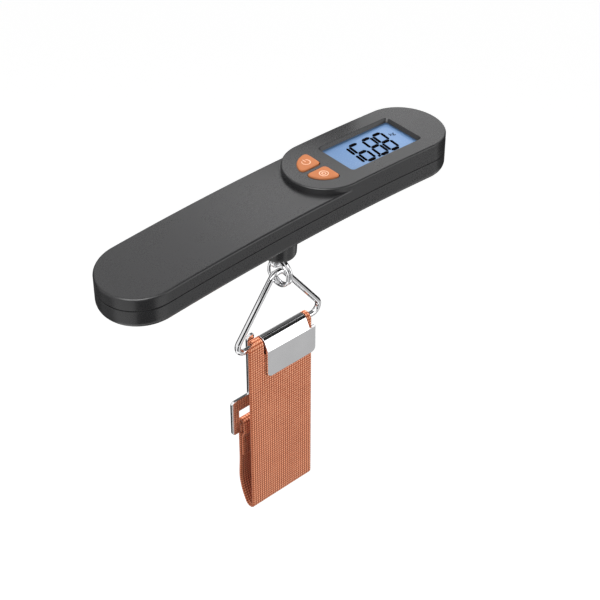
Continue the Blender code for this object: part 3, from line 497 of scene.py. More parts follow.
class Bench:
    """Modelling helpers that every sub-assembly uses."""

    @staticmethod
    def link(name: str, data: ID) -> Object:
        """Adds an object to the scene.

        Args:
            name: the object's name.
            data: its mesh, curve, lamp or camera.

        Returns:
            The object.
        """
        made = bpy.data.objects.new(name, data)
        bpy.context.scene.collection.objects.link(made)
        return made

    @staticmethod
    def mesh(name: str, bm: BMesh) -> Mesh:
        """Turns a bmesh into mesh data.

        Args:
            name: the data's name.
            bm: the bmesh, which is freed.

        Returns:
            The mesh data.
        """
        made = bpy.data.meshes.new(name)
        bm.to_mesh(made)
        bm.free()
        return made

    @staticmethod
    def solved(holder: Object) -> Mesh:
        """An object's mesh with its modifiers applied."""
        bpy.context.view_layer.update()
        return bpy.data.meshes.new_from_object(holder.evaluated_get(bpy.context.evaluated_depsgraph_get()))

    @staticmethod
    def lifted(mesh: Mesh) -> BMesh:
        """Turns mesh data into a bmesh.

        Args:
            mesh: the mesh data, which is removed with its object.

        Returns:
            The bmesh.
        """
        bm = bmesh.new()
        bm.from_mesh(mesh)
        bpy.data.meshes.remove(mesh)
        return bm

    @staticmethod
    def smooth(mesh: Mesh, angle: float) -> None:
        """Shades a mesh smooth, with its edges above an angle in degrees sharp."""
        mesh.shade_smooth()
        mesh.set_sharp_from_angle(angle=math.radians(angle))

    @staticmethod
    def outward(bm: BMesh) -> BMesh:
        """Turns every face outwards."""
        bmesh.ops.recalc_face_normals(bm, faces=bm.faces)
        return bm

    @staticmethod
    def only(kind: type, geom: Sequence) -> list:
        """The parts of an operator's result that are of one kind."""
        return [part for part in geom if isinstance(part, kind)]

    @staticmethod
    def piece(name: str, bm: BMesh, finish: Material, smooth: float = 35.0) -> Object:
        """Makes an object of a mesh.

        Args:
            name: the piece's name.
            bm: its mesh, which is freed.
            finish: its material.
            smooth: the angle in degrees above which an edge stays sharp.

        Returns:
            The object, at the origin.
        """
        mesh = Bench.mesh(name, bm)
        mesh.materials.append(finish)
        Bench.smooth(mesh, smooth)
        return Bench.link(name, mesh)

    @staticmethod
    def settle(made: Object, smooth: float) -> None:
        """Applies a piece's modifiers.

        Args:
            made: the piece.
            smooth: the angle in degrees above which an edge is then sharp.
        """
        mesh = Bench.solved(made)
        spent = made.data
        made.modifiers.clear()
        made.data = mesh
        bpy.data.meshes.remove(spent)
        mesh.name = made.name
        Bench.smooth(mesh, smooth)

    @staticmethod
    def seat(made: Object, body: Body, slot: str, *stands_for: str) -> Object:
        """Lets a piece ride on a body.

        Args:
            made: the piece.
            body: the body that it moves with.
            slot: its material slot; not used.
            stands_for: the CAD nodes that it replaces.

        Returns:
            The piece.
        """
        if stands_for:
            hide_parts(*stands_for)
        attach(made, body.value)
        LOG.info("%s: %d faces", made.name, len(made.data.polygons))
        return made

    @staticmethod
    def bevel(bm: BMesh, geom: list, width: float, segments: int, kind: str = "EDGES") -> None:
        """Rounds edges or corners."""
        bmesh.ops.bevel(bm, geom=geom, offset=width, offset_type="OFFSET", segments=segments, profile=0.5,
                        affect=kind, clamp_overlap=True, material=-1)

    @staticmethod
    def extrude_face(bm: BMesh, face: BMFace, move: Vector) -> list[BMVert]:
        """Extrudes a face into a prism.

        Args:
            bm: the mesh.
            face: the face, which stays as the prism's floor.
            move: how far the copy goes.

        Returns:
            The copy's points.
        """
        top = Bench.only(BMVert, bmesh.ops.extrude_face_region(bm, geom=[face])["geom"])
        bmesh.ops.translate(bm, verts=top, vec=move)
        return top

    @staticmethod
    def rim(bm: BMesh, z: float) -> list[BMEdge]:
        """The edges at one height."""
        return [e for e in bm.edges if all(abs(v.co.z - z) < NEAR for v in e.verts)]

    @staticmethod
    def disc(radius: float, low: float, high: float, x: float = 0.0, y: float = 0.0,
             sides: int = 64) -> BMesh:
        """An upright cylinder.

        Args:
            radius: its radius.
            low: its lowest height.
            high: its highest height.
            x: its axis on X.
            y: its axis on Y.
            sides: the number of its sides.

        Returns:
            The mesh.
        """
        bm = bmesh.new()
        bmesh.ops.create_cone(bm, cap_ends=True, segments=sides, radius1=radius, radius2=radius,
                              depth=high - low, matrix=Matrix.Translation((x, y, (low + high) / 2)))
        return bm

    @staticmethod
    def block(size: Triple, middle: Triple, corner: float = 0.0, segments: int = 6) -> BMesh:
        """A box with rounded upright edges.

        Args:
            size: its sides.
            middle: its middle.
            corner: the radius of its upright edges.
            segments: the steps of that rounding.

        Returns:
            The mesh.
        """
        bm = bmesh.new()
        place = Matrix.Translation(middle) @ Matrix.Diagonal((*size, 1.0))
        bmesh.ops.create_cube(bm, size=1.0, matrix=place)
        if corner:
            upright = [e for e in bm.edges if (e.verts[0].co.xy - e.verts[1].co.xy).length < NEAR]
            Bench.bevel(bm, upright, corner, segments)
        return bm

    @staticmethod
    def revolve(profile: Sequence[Pair], sides: int = 96) -> BMesh:
        """Spins a profile about Z into a closed solid.

        Args:
            profile: points of radius and height, from axis to axis.
            sides: the steps of the turn.

        Returns:
            The mesh.
        """
        bm = bmesh.new()
        verts = [bm.verts.new((r, 0, z)) for r, z in profile]
        edges = [bm.edges.new(pair) for pair in zip(verts, verts[1:])]
        bmesh.ops.spin(bm, geom=[*verts, *edges], cent=(0, 0, 0), axis=(0, 0, 1), angle=2 * math.pi,
                       steps=sides, use_merge=True, use_duplicate=False)
        bmesh.ops.remove_doubles(bm, verts=bm.verts, dist=NEAR)
        return Bench.outward(bm)

    @staticmethod
    def combine(first: BMesh, steps: Steps) -> BMesh:
        """Joins shapes to a solid or cuts them from it.

        Args:
            first: the solid.
            steps: pairs of UNION or DIFFERENCE and a shape.

        Returns:
            The solid's mesh.
        """
        solid = Bench.link("solid", Bench.mesh("solid", Bench.outward(first)))
        tools = [Bench.link("tool", Bench.mesh("tool", Bench.outward(shape))) for _, shape in steps]
        for (kind, _), tool in zip(steps, tools):
            change = solid.modifiers.new(kind, "BOOLEAN")
            change.operation = kind
            change.solver = "EXACT"
            change.object = tool
        mesh = Bench.solved(solid)
        for spent in (solid, *tools):
            bpy.data.meshes.remove(spent.data)
        return Bench.lifted(mesh)

    @staticmethod
    def tube(name: str, points: Sequence[Vector], radius: float, finish: Material, closed: bool,
             sides: int = 5) -> Object:
        """A round wire along points.

        Args:
            name: the piece's name.
            points: the wire's axis.
            radius: the wire's radius.
            finish: its material.
            closed: whether the wire's ends meet.
            sides: the bevel resolution of its section.

        Returns:
            The object, as a mesh.
        """
        curve = bpy.data.curves.new(name, "CURVE")
        curve.dimensions = "3D"
        curve.bevel_depth = radius
        curve.bevel_resolution = sides
        curve.use_fill_caps = not closed
        spline = curve.splines.new("POLY")
        spline.points.add(len(points) - 1)
        for place, point in zip(spline.points, points):
            place.co = (*point, 1.0)
        spline.use_cyclic_u = closed
        mesh = Bench.solved(Bench.link(name, curve))
        bpy.data.curves.remove(curve)
        bm = Bench.lifted(mesh)
        bmesh.ops.remove_doubles(bm, verts=bm.verts, dist=NEAR)
        return Bench.piece(name, Bench.outward(bm), finish, 50.0)

    @staticmethod
    def thicken(made: Object, thick: float, edge: tuple[float, int, float]) -> None:
        """Gives a sheet its thickness and soft edges, as modifiers.

        Args:
            made: the sheet.
            thick: its thickness, half to each side.
            edge: the width, the segments and the least angle in degrees of the rounding.
        """
        sheet = made.modifiers.new("sheet", "SOLIDIFY")
        sheet.thickness = thick
        sheet.offset = 0.0
        sheet.use_even_offset = True
        soft = made.modifiers.new("edges", "BEVEL")
        soft.width, soft.segments = edge[:2]
        soft.limit_method = "ANGLE"
        soft.angle_limit = math.radians(edge[2])

    @staticmethod
    def even_normals(made: Object) -> None:
        """Keeps broad faces flat in the shading beside their rounded edges.

        Args:
            made: the piece.
        """
        weight = made.modifiers.new("even", "WEIGHTED_NORMAL")
        weight.keep_sharp = True
        weight.weight = 90

    @staticmethod
    def arc(middle: Vector, radius: float, first: float, last: float, steps: int) -> list[Vector]:
        """Points of an arc in two dimensions, by its first and last angles."""
        angles = [first + (last - first) * n / steps for n in range(steps + 1)]
        return [middle + radius * Vector((math.cos(a), math.sin(a))) for a in angles]

    @staticmethod
    def bezier(start: Vector, first: Vector, second: Vector, end: Vector, steps: int) -> list[Vector]:
        """Points of a cubic curve.

        Args:
            start: its first point, which is left out.
            first: its first handle.
            second: its second handle.
            end: its last point.
            steps: the number of points.

        Returns:
            The points.
        """
        points = []
        for step in range(1, steps + 1):
            t = step / steps
            points.append(start * (1 - t) ** 3 + first * 3 * t * (1 - t) ** 2 + second * 3 * t * t * (1 - t)
                          + end * t ** 3)
        return points


@dataclass
class ArchedBody:
    """Sizes that the shells, the keys and the display share."""

    length: float = 149.9 * MM
    width: float = 30.9 * MM
    arch_radius: float = 926 * MM
    wall: float = 1.8 * MM
    gap: float = 0.3 * MM
    seam: float = 0.3 * MM
    seam_chamfer: Rounding = (0.25 * MM, 2)
    tongue: Pair = (0.5 * MM, 0.9 * MM)
    handle_top: float = 4.9 * MM
    pod_top: float = 7.1 * MM
    bottom: float = -7.7 * MM
    roof: float = 1.5 * MM
    pod_end: float = 5.9 * MM
    pod_inset: float = 0.03 * MM
    sides: int = 144
    stations: int = 30

    def drop(self, x: float) -> float:
        """How far the arch lies below its middle at x."""
        return x * x / (2 * self.arch_radius)

    def stadium(self, length: float, width: float, low: float, high: float, x_mid: float = 0.0,
                top: Rounding = (0.0, 0), foot: Rounding = (0.0, 0)) -> BMesh:
        """A prism with a stadium outline.

        Args:
            length: its length along X.
            width: its width along Y.
            low: its lowest height.
            high: its highest height.
            x_mid: its middle on X.
            top: width and segments of the rounding on the upper rim.
            foot: the same for the lower rim.

        Returns:
            The mesh.
        """
        bm = bmesh.new()
        bmesh.ops.create_circle(bm, cap_ends=True, radius=width / 2, segments=self.sides,
                                matrix=Matrix.Rotation(math.pi / self.sides, 4, "Z"))
        for vert in bm.verts:
            vert.co.x += x_mid + math.copysign((length - width) / 2, vert.co.x)
            vert.co.z = low
        Bench.extrude_face(bm, bm.faces[:][0], Vector((0, 0, high - low)))
        for height, rounding in ((high, top), (low, foot)):
            if rounding[1]:
                Bench.bevel(bm, Bench.rim(bm, height), *rounding)
        return bm

    def inner(self, inset: float, low: float, high: float) -> BMesh:
        """A prism that lies inside the body's outline by an inset."""
        return self.stadium(self.length - 2 * inset, self.width - 2 * inset, low, high)

    def bend(self, bm: BMesh) -> BMesh:
        """Bends a straight mesh to the arch, after cutting it across at equal steps.

        Args:
            bm: the mesh.

        Returns:
            The same mesh.
        """
        step = self.length / self.stations
        for number in range(-self.stations // 2, self.stations // 2 + 1):
            bmesh.ops.bisect_plane(bm, geom=[*bm.verts, *bm.edges, *bm.faces], dist=NEAR,
                                   plane_co=(number * step, 0, 0), plane_no=(1, 0, 0))
        for vert in bm.verts:
            vert.co.z -= self.drop(vert.co.x)
        return bm

    def on_arch(self, x: float, height: float) -> Matrix:
        """The place of a rigid piece that stands square to the arch.

        Args:
            x: where it stands.
            height: the height of its middle.

        Returns:
            The place as a matrix.
        """
        slope = x / self.arch_radius
        spot = Matrix.Translation((x - height * math.sin(slope), 0, -self.drop(x)))
        return spot @ Matrix.Rotation(slope, 4, "Y")


@dataclass
class KeySector:
    """Plan of the quarter-disc keys."""

    x: float = 20.5 * MM
    radius: float = 9.1 * MM
    split: float = 0.95 * MM
    corner: float = 1.7 * MM
    corner_growth: float = 0.6
    corner_steps: int = 6
    arc_steps: int = 7

    def prism(self, side: int, grow: float, low: float, high: float) -> BMesh:
        """A quarter-disc prism with round corners.

        Args:
            side: 1 for the far key and -1 for the near one.
            grow: how far its walls stand out from the key's own.
            low: its lowest height.
            high: its highest height.

        Returns:
            The mesh.
        """
        bm = bmesh.new()
        middle = (self.x + grow, side * (self.split - grow), low)
        corner = bm.verts.new(middle)
        radius = self.radius + grow
        first = bm.verts.new((self.x + grow, side * radius, low))
        made = bmesh.ops.spin(bm, geom=[first], cent=middle, axis=(0, 0, side), angle=math.pi / 2,
                              steps=self.arc_steps, use_duplicate=False)
        last = Bench.only(BMVert, made["geom_last"])[0]
        for vert in bm.verts:
            if vert is not corner:
                share = (vert.co.x - self.x - grow) / (radius - self.split + grow)
                vert.co.x = self.x + grow + share * radius
        edges = [*bm.edges, bm.edges.new((corner, first)), bm.edges.new((last, corner))]
        face = bmesh.ops.contextual_create(bm, geom=edges)["faces"][0]
        tight = [(v.co.x, v.co.y) for v in (corner, first, last)]
        Bench.extrude_face(bm, face, Vector((0, 0, high - low)))
        upright = [e for e in bm.edges if abs(e.verts[0].co.z - e.verts[1].co.z) > NEAR
                   and any((Vector(p) - e.verts[0].co.xy).length < NEAR for p in tight)]
        Bench.bevel(bm, upright, self.corner + grow * self.corner_growth, self.corner_steps)
        return Bench.outward(bm)


@dataclass
class Shells:
    """The upper cover with its display pod, and the lower cover with the pull neck."""

    body: ArchedBody
    sector: KeySector
    handle_rim: Rounding = (0.8 * MM, 8)
    pod_rim: Rounding = (0.6 * MM, 6)
    foot_rim: Rounding = (3.0 * MM, 10)
    smooth: float = 32.0
    window_x: float = 43 * MM
    window: Pair = (33.6 * MM, 18 * MM)
    window_slope: float = 0.8 * MM
    window_corner: float = 1.2 * MM
    window_chamfer: float = 0.22 * MM
    neck_top: float = 6.8 * MM
    neck_low: float = 6.2 * MM
    neck_end: float = -21.8 * MM
    neck_fillet: Rounding = (0.7 * MM, 5)
    neck_round: Rounding = (2.0 * MM, 9)
    neck_bore: float = 4.9 * MM
    bore_depth: float = 8 * MM
    shank_hole: float = 2.1 * MM
    door_x: float = -52 * MM
    door_radius: float = 11.2 * MM
    lug_turns: Pair = (50.0, 230.0)
    lug_place: float = 11.6 * MM
    lug_slot: Pair = (2.6 * MM, 6.4 * MM)
    screw_sink: float = 2.1 * MM
    screw_head: float = 1.9 * MM
    screw_hole: float = 1.3 * MM
    boss_wall: float = 0.9 * MM
    screws: tuple[Pair, ...] = ((-68 * MM, 0.0), (69.5 * MM, 0.0),
                                (-9 * MM, 10.4 * MM), (-9 * MM, -10.4 * MM))

    def window_tool(self) -> BMesh:
        """The display opening: a chamfered rim and walls that slope in towards the glass.

        Returns:
            The mesh.
        """
        b = self.body
        low, rim = b.pod_top - b.roof - b.gap, b.pod_top - self.window_chamfer
        bm = Bench.block((*self.window, rim - low), (self.window_x, 0, (low + rim) / 2), self.window_corner)
        top = max(bm.faces, key=lambda f: f.calc_center_median().z)
        lid = Bench.extrude_face(bm, top, Vector((0, 0, 2 * self.window_chamfer)))
        bmesh.ops.delete(bm, geom=[top], context="FACES_ONLY")
        flat_x, flat_y = (side / 2 - self.window_corner for side in self.window)
        for vert in bm.verts:
            move = 2 * self.window_chamfer if vert in lid else 0.0
            if vert.co.z < low + NEAR:
                move = -self.window_slope
            inner = Vector((math.copysign(flat_x, vert.co.x - self.window_x) + self.window_x,
                            math.copysign(flat_y, vert.co.y), vert.co.z))
            vert.co += (vert.co - inner).normalized() * move
        return bm

    def upper(self, finish: Material) -> Object:
        """Builds the upper cover.

        Args:
            finish: its material.

        Returns:
            The object.
        """
        b = self.body
        low = b.seam / 2
        solid = b.stadium(b.length, b.width, low, b.handle_top, 0.0, self.handle_rim, b.seam_chamfer)
        pod_length = b.length / 2 - b.pod_end
        pod_x = b.pod_end + pod_length / 2
        pod = b.stadium(pod_length - b.pod_inset, b.width - 2 * b.pod_inset, low + 2 * b.gap, b.pod_top,
                        pod_x, self.pod_rim)
        room = b.stadium(pod_length - 2 * b.wall, b.width - 2 * b.wall - b.gap, -b.wall,
                         b.pod_top - b.roof, pod_x)
        cuts = [b.inner(b.wall, -b.wall, b.handle_top - b.roof),
                b.inner(b.wall - b.gap, -b.wall, b.tongue[1] + b.gap), room, self.window_tool()]
        for side in (1, -1):
            cuts.append(self.sector.prism(side, b.gap, b.pod_top - 2 * b.roof, b.pod_top + b.roof))
        steps = [("UNION", pod), *(("DIFFERENCE", cut) for cut in cuts)]
        return self._cover("upper_shell", "upper_cover", Bench.combine(solid, steps), finish)

    def _cover(self, name: str, node: str, bm: BMesh, finish: Material) -> Object:
        """Bends a straight cover and seats it.

        Args:
            name: the piece's name.
            node: the CAD node that it stands for.
            bm: its mesh.
            finish: its material.

        Returns:
            The object.
        """
        made = Bench.piece(name, self.body.bend(bm), finish, self.smooth)
        Bench.even_normals(made)
        return Bench.seat(made, Body.HOUSING, "shell_plastic", node)

    def neck(self) -> BMesh:
        """The pull neck: a taper with a small fillet at its root and a round lower rim.

        Returns:
            The mesh.
        """
        root = self.body.bottom
        fillet, fillet_steps = self.neck_fillet
        curl, curl_steps = self.neck_round
        start = root + self.body.gap
        hollow = Vector((self.neck_top + fillet, root - fillet))
        rim = Vector((self.neck_low - curl, self.neck_end + curl))
        profile = [(0.0, start), (self.neck_top + fillet, start)]
        profile += [tuple(p) for p in Bench.arc(hollow, fillet, math.pi / 2, math.pi, fillet_steps)]
        profile += [tuple(p) for p in Bench.arc(rim, curl, 0.0, -math.pi / 2, curl_steps)]
        profile.append((0.0, self.neck_end))
        return Bench.revolve(profile)

    def lower(self, finish: Material) -> Object:
        """Builds the lower cover.

        Args:
            finish: its material.

        Returns:
            The object.
        """
        b = self.body
        floor = b.bottom + b.wall
        solid = b.stadium(b.length, b.width, b.bottom, -b.seam / 2, 0.0, b.seam_chamfer, self.foot_rim)
        thin, tall = b.tongue
        inset = b.wall - b.gap / 3
        mouth = self.neck_end - b.gap
        door = Bench.disc(self.door_radius + b.gap, b.bottom - b.gap, floor + b.gap, self.door_x)
        steps = [("UNION", b.inner(inset, -b.wall, tall)),
                 ("DIFFERENCE", b.inner(inset + thin, -b.wall - b.gap, tall + b.gap)),
                 ("DIFFERENCE", b.inner(b.wall, floor, -b.wall + b.gap / 2)),
                 ("UNION", self.neck()),
                 ("DIFFERENCE", Bench.disc(self.neck_bore, mouth, self.neck_end + self.bore_depth)),
                 ("DIFFERENCE", Bench.disc(self.shank_hole, self.neck_end, b.wall)),
                 ("DIFFERENCE", door)]
        steps += [("DIFFERENCE", self._lug(turn)) for turn in self.lug_turns]
        for x, y in self.screws:
            boss = Bench.disc(self.screw_head + self.boss_wall, floor - b.gap, -2 * b.gap, x, y, 40)
            steps.append(("UNION", boss))
        for x, y in self.screws:
            deep = b.bottom + self.screw_sink
            sink = Bench.disc(self.screw_head + b.gap, b.bottom - b.gap, deep, x, y, 48)
            pilot = Bench.disc(self.screw_hole, b.bottom, b.wall, x, y, 32)
            steps += [("DIFFERENCE", sink), ("DIFFERENCE", pilot)]
        return self._cover("lower_shell", "lower_cover", Bench.combine(solid, steps), finish)

    def _lug(self, turn: float) -> BMesh:
        """The slot for a lug of the battery door.

        Args:
            turn: its angle about the door's middle in degrees.

        Returns:
            The mesh.
        """
        around = Matrix.Rotation(math.radians(turn), 4, "Z")
        spot = Vector((self.door_x, 0, 0)) + around @ Vector((self.lug_place, 0, 0))
        bm = Bench.block((*self.lug_slot, 4 * self.body.wall), (0, 0, self.body.bottom))
        bmesh.ops.transform(bm, matrix=Matrix.Translation(spot) @ around, verts=bm.verts)
        return bm


@dataclass
class Keys:
    """Two crowned orange keys with a printed mark each."""

    body: ArchedBody
    sector: KeySector
    middle: Pair = (0.42, 0.4)
    flange_top: float = 5.3 * MM
    skirt: float = 0.8 * MM
    proud: float = 0.5 * MM
    crown: Rounding = (1.35 * MM, 8)
    squash: float = 0.6
    mark_width: float = 0.34 * MM
    mark_lift: float = 0.004 * MM
    mark_thick: float = 0.03 * MM
    mark_shift: float = -0.1 * MM
    ring_steps: int = 36
    power_ring: Triple = (1.5 * MM, math.radians(35), math.radians(290))
    power_bar: Pair = (1.0 * MM, 1.7 * MM)
    tare_rings: Pair = (1.55 * MM, 0.7 * MM)

    def build(self, finishes: Finishes) -> None:
        """Builds both keys and their marks.

        Args:
            finishes: the materials.
        """
        along, across = (self.sector.radius * share for share in self.middle)
        for name, side, body in (("power", 1, Body.POWER_KEY), ("tare", -1, Body.TARE_KEY)):
            middle = Vector((self.sector.x - along, side * (self.sector.split + across), 0))
            key = self._key(name, side, middle, finishes.key)
            Bench.seat(key, body, "button_orange", f"{name}_button")
            mark = self._mark(name, middle, finishes.print)
            Bench.seat(mark, body, "button_orange")

    def _place(self, middle: Vector) -> Matrix:
        """The key's tilt on the arch."""
        return self.body.on_arch(middle.x, self.flange_top) @ Matrix.Translation((-middle.x, 0, 0))

    def _key(self, name: str, side: int, middle: Vector, finish: Material) -> Object:
        """One key: straight walls and a cushioned top.

        Args:
            name: the key's name.
            side: 1 for the far key and -1 for the near one.
            middle: its plan centre.
            finish: its material.

        Returns:
            The object.
        """
        top = self.body.pod_top + self.proud
        bm = self.sector.prism(side, 0.0, self.flange_top - self.skirt, top)
        Bench.bevel(bm, Bench.rim(bm, top), *self.crown)
        shoulder = top - self.crown[0]
        for vert in bm.verts:
            if vert.co.z > shoulder:
                vert.co.z = top - (top - vert.co.z) * self.squash
        bmesh.ops.transform(bm, matrix=self._place(middle), verts=bm.verts)
        return Bench.piece(f"{name}_key", Bench.outward(bm), finish, 60.0)

    def _mark(self, name: str, middle: Vector, finish: Material) -> Object:
        """A printed mark: an open ring with a bar, or a ring within a ring.

        Args:
            name: the key's name.
            middle: the key's plan centre.
            finish: the mark's material.

        Returns:
            The object.
        """
        top = self.body.pod_top + self.proud + self.mark_lift
        bm = bmesh.new()
        if name == "power":
            self._ring(bm, *self.power_ring)
            self._bar(bm, *self.power_bar)
        else:
            for radius in self.tare_rings:
                self._ring(bm, radius, 0.0, 2 * math.pi)
        bmesh.ops.translate(bm, verts=bm.verts, vec=(middle.x + self.mark_shift, middle.y, top))
        bmesh.ops.transform(bm, matrix=self._place(middle), verts=bm.verts)
        made = Bench.piece(f"{name}_mark", bm, finish)
        thick = made.modifiers.new("print", "SOLIDIFY")
        thick.thickness = self.mark_thick
        thick.offset = 0.0
        return made

    def _ring(self, bm: BMesh, radius: float, gap: float, sweep: float) -> None:
        """Adds a flat ring.

        Args:
            bm: the mark's mesh.
            radius: the ring's middle radius.
            gap: the angle from +Y at which it starts.
            sweep: the angle of its run.
        """
        start = Matrix.Rotation(gap, 3, "Z") @ Vector((0, 1, 0))
        half = self.mark_width / 2
        pair = [bm.verts.new(start * (radius + offset)) for offset in (-half, half)]
        edge = bm.edges.new(pair)
        whole = sweep > 2 * math.pi - NEAR
        bmesh.ops.spin(bm, geom=[*pair, edge], cent=(0, 0, 0), axis=(0, 0, 1), angle=sweep,
                       steps=self.ring_steps, use_merge=whole, use_duplicate=False)

    def _bar(self, bm: BMesh, y: float, length: float) -> None:
        """Adds a flat upright bar."""
        spot = Matrix.Translation((0, y, 0)) @ Matrix.Diagonal((self.mark_width, length, 1, 1))
        bmesh.ops.create_grid(bm, x_segments=1, y_segments=1, size=0.5, matrix=spot)


class Segment(Enum):
    """Bars of a seven-bar digit: middle in half widths and half heights, and whether it lies flat."""

    TOP = (0, 1, True)
    UPPER_LEFT = (-1, 0.5, False)
    UPPER_RIGHT = (1, 0.5, False)
    MIDDLE = (0, 0, True)
    LOWER_LEFT = (-1, -0.5, False)
    LOWER_RIGHT = (1, -0.5, False)
    BOTTOM = (0, -1, True)


@dataclass
class Display:
    """Digits and unit on the display glass."""

    body: ArchedBody
    x: float = 43 * MM
    glass_top: float = 5.0 * MM
    glass_thick: float = 1.8 * MM
    half: Pair = (1.95 * MM, 5.55 * MM)
    bars: Pair = (1.55 * MM, 1.1 * MM)
    bar_tip: float = 0.44
    spacing: Pair = (0.14 * MM, 0.68 * MM)
    slant: float = 0.105
    ink: float = 0.04 * MM
    digits: tuple[tuple[int, float], ...] = ((1, 33.5 * MM), (6, 38.8 * MM),
                                             (8, 45.1 * MM), (8, 50.3 * MM))
    middle_y: float = -0.47 * MM
    point: Pair = (41.9 * MM, -6.0 * MM)
    point_corner: Rounding = (0.25 * MM, 3)
    unit: str = "kg"
    unit_place: Pair = (54.2 * MM, 1.0 * MM)
    unit_size: float = 2.6 * MM
    unit_shear: float = 0.12
    lit: dict[int, list[Segment]] = field(default_factory=lambda: {
        8: list(Segment), 1: [Segment.UPPER_RIGHT, Segment.LOWER_RIGHT],
        6: [s for s in Segment if s is not Segment.UPPER_RIGHT]})

    def build(self, finishes: Finishes) -> None:
        """Builds the digits, the point and the unit as one inked piece.

        Args:
            finishes: the materials.
        """
        bm = bmesh.new()
        for digit, x in self.digits:
            for segment in self.lit[digit]:
                self._segment(bm, segment, x - self.x)
        self._point(bm)
        self._unit(bm)
        bmesh.ops.translate(bm, verts=bm.verts, vec=(0, 0, self.glass_top + 0.5 * self.ink))
        place = self.body.on_arch(self.x, self.glass_top - self.glass_thick / 2)
        bmesh.ops.transform(bm, matrix=place, verts=bm.verts)
        made = Bench.piece("display_digits", Bench.outward(bm), finishes.ink)
        Bench.seat(made, Body.HOUSING, "lcd_glass")

    def _segment(self, bm: BMesh, segment: Segment, x: float) -> None:
        """Adds one bar with pointed ends.

        Args:
            bm: the display's mesh.
            segment: which bar it is.
            x: the middle of its digit.
        """
        across, up, flat = segment.value
        thick = self.bars[0] if flat else self.bars[1]
        length = (2 * self.half[0] - self.spacing[0]) if flat else (self.half[1] - self.spacing[1])
        shape = bmesh.new()
        turn = Matrix.Identity(4) if flat else Matrix.Rotation(math.pi / 2, 4, "Z")
        bmesh.ops.create_cube(shape, size=1.0, matrix=turn @ Matrix.Diagonal((length, thick, self.ink, 1.0)))
        upright = [e for e in shape.edges if abs(e.verts[0].co.z - e.verts[1].co.z) > NEAR]
        Bench.bevel(shape, upright, thick * self.bar_tip, 1)
        for vert in shape.verts:
            vert.co.y += self.middle_y + up * self.half[1]
            vert.co.x += x + across * self.half[0] + self.slant * (vert.co.y - self.middle_y)
        self._pour(shape, bm)

    def _point(self, bm: BMesh) -> None:
        """Adds the decimal point."""
        size = (self.bars[1], self.bars[1], self.ink)
        self._pour(Bench.block(size, (self.point[0] - self.x, self.point[1], 0), *self.point_corner), bm)

    def _unit(self, bm: BMesh) -> None:
        """Adds the unit of mass in small letters.

        Args:
            bm: the display's mesh.
        """
        curve = bpy.data.curves.new("unit", "FONT")
        curve.body = self.unit
        curve.size = self.unit_size
        curve.extrude = self.ink / 2
        curve.shear = self.unit_shear
        shape = Bench.lifted(Bench.solved(Bench.link("unit", curve)))
        bpy.data.curves.remove(curve)
        x, y = self.unit_place
        bmesh.ops.translate(shape, verts=shape.verts, vec=(x - self.x, y, 0))
        self._pour(shape, bm)

    @staticmethod
    def _pour(shape: BMesh, bm: BMesh) -> None:
        """Adds one mesh to another.

        Args:
            shape: the mesh to add, which is freed.
            bm: the mesh that takes it.
        """
        scratch = Bench.mesh("scratch", shape)
        bm.from_mesh(scratch)
        bpy.data.meshes.remove(scratch)


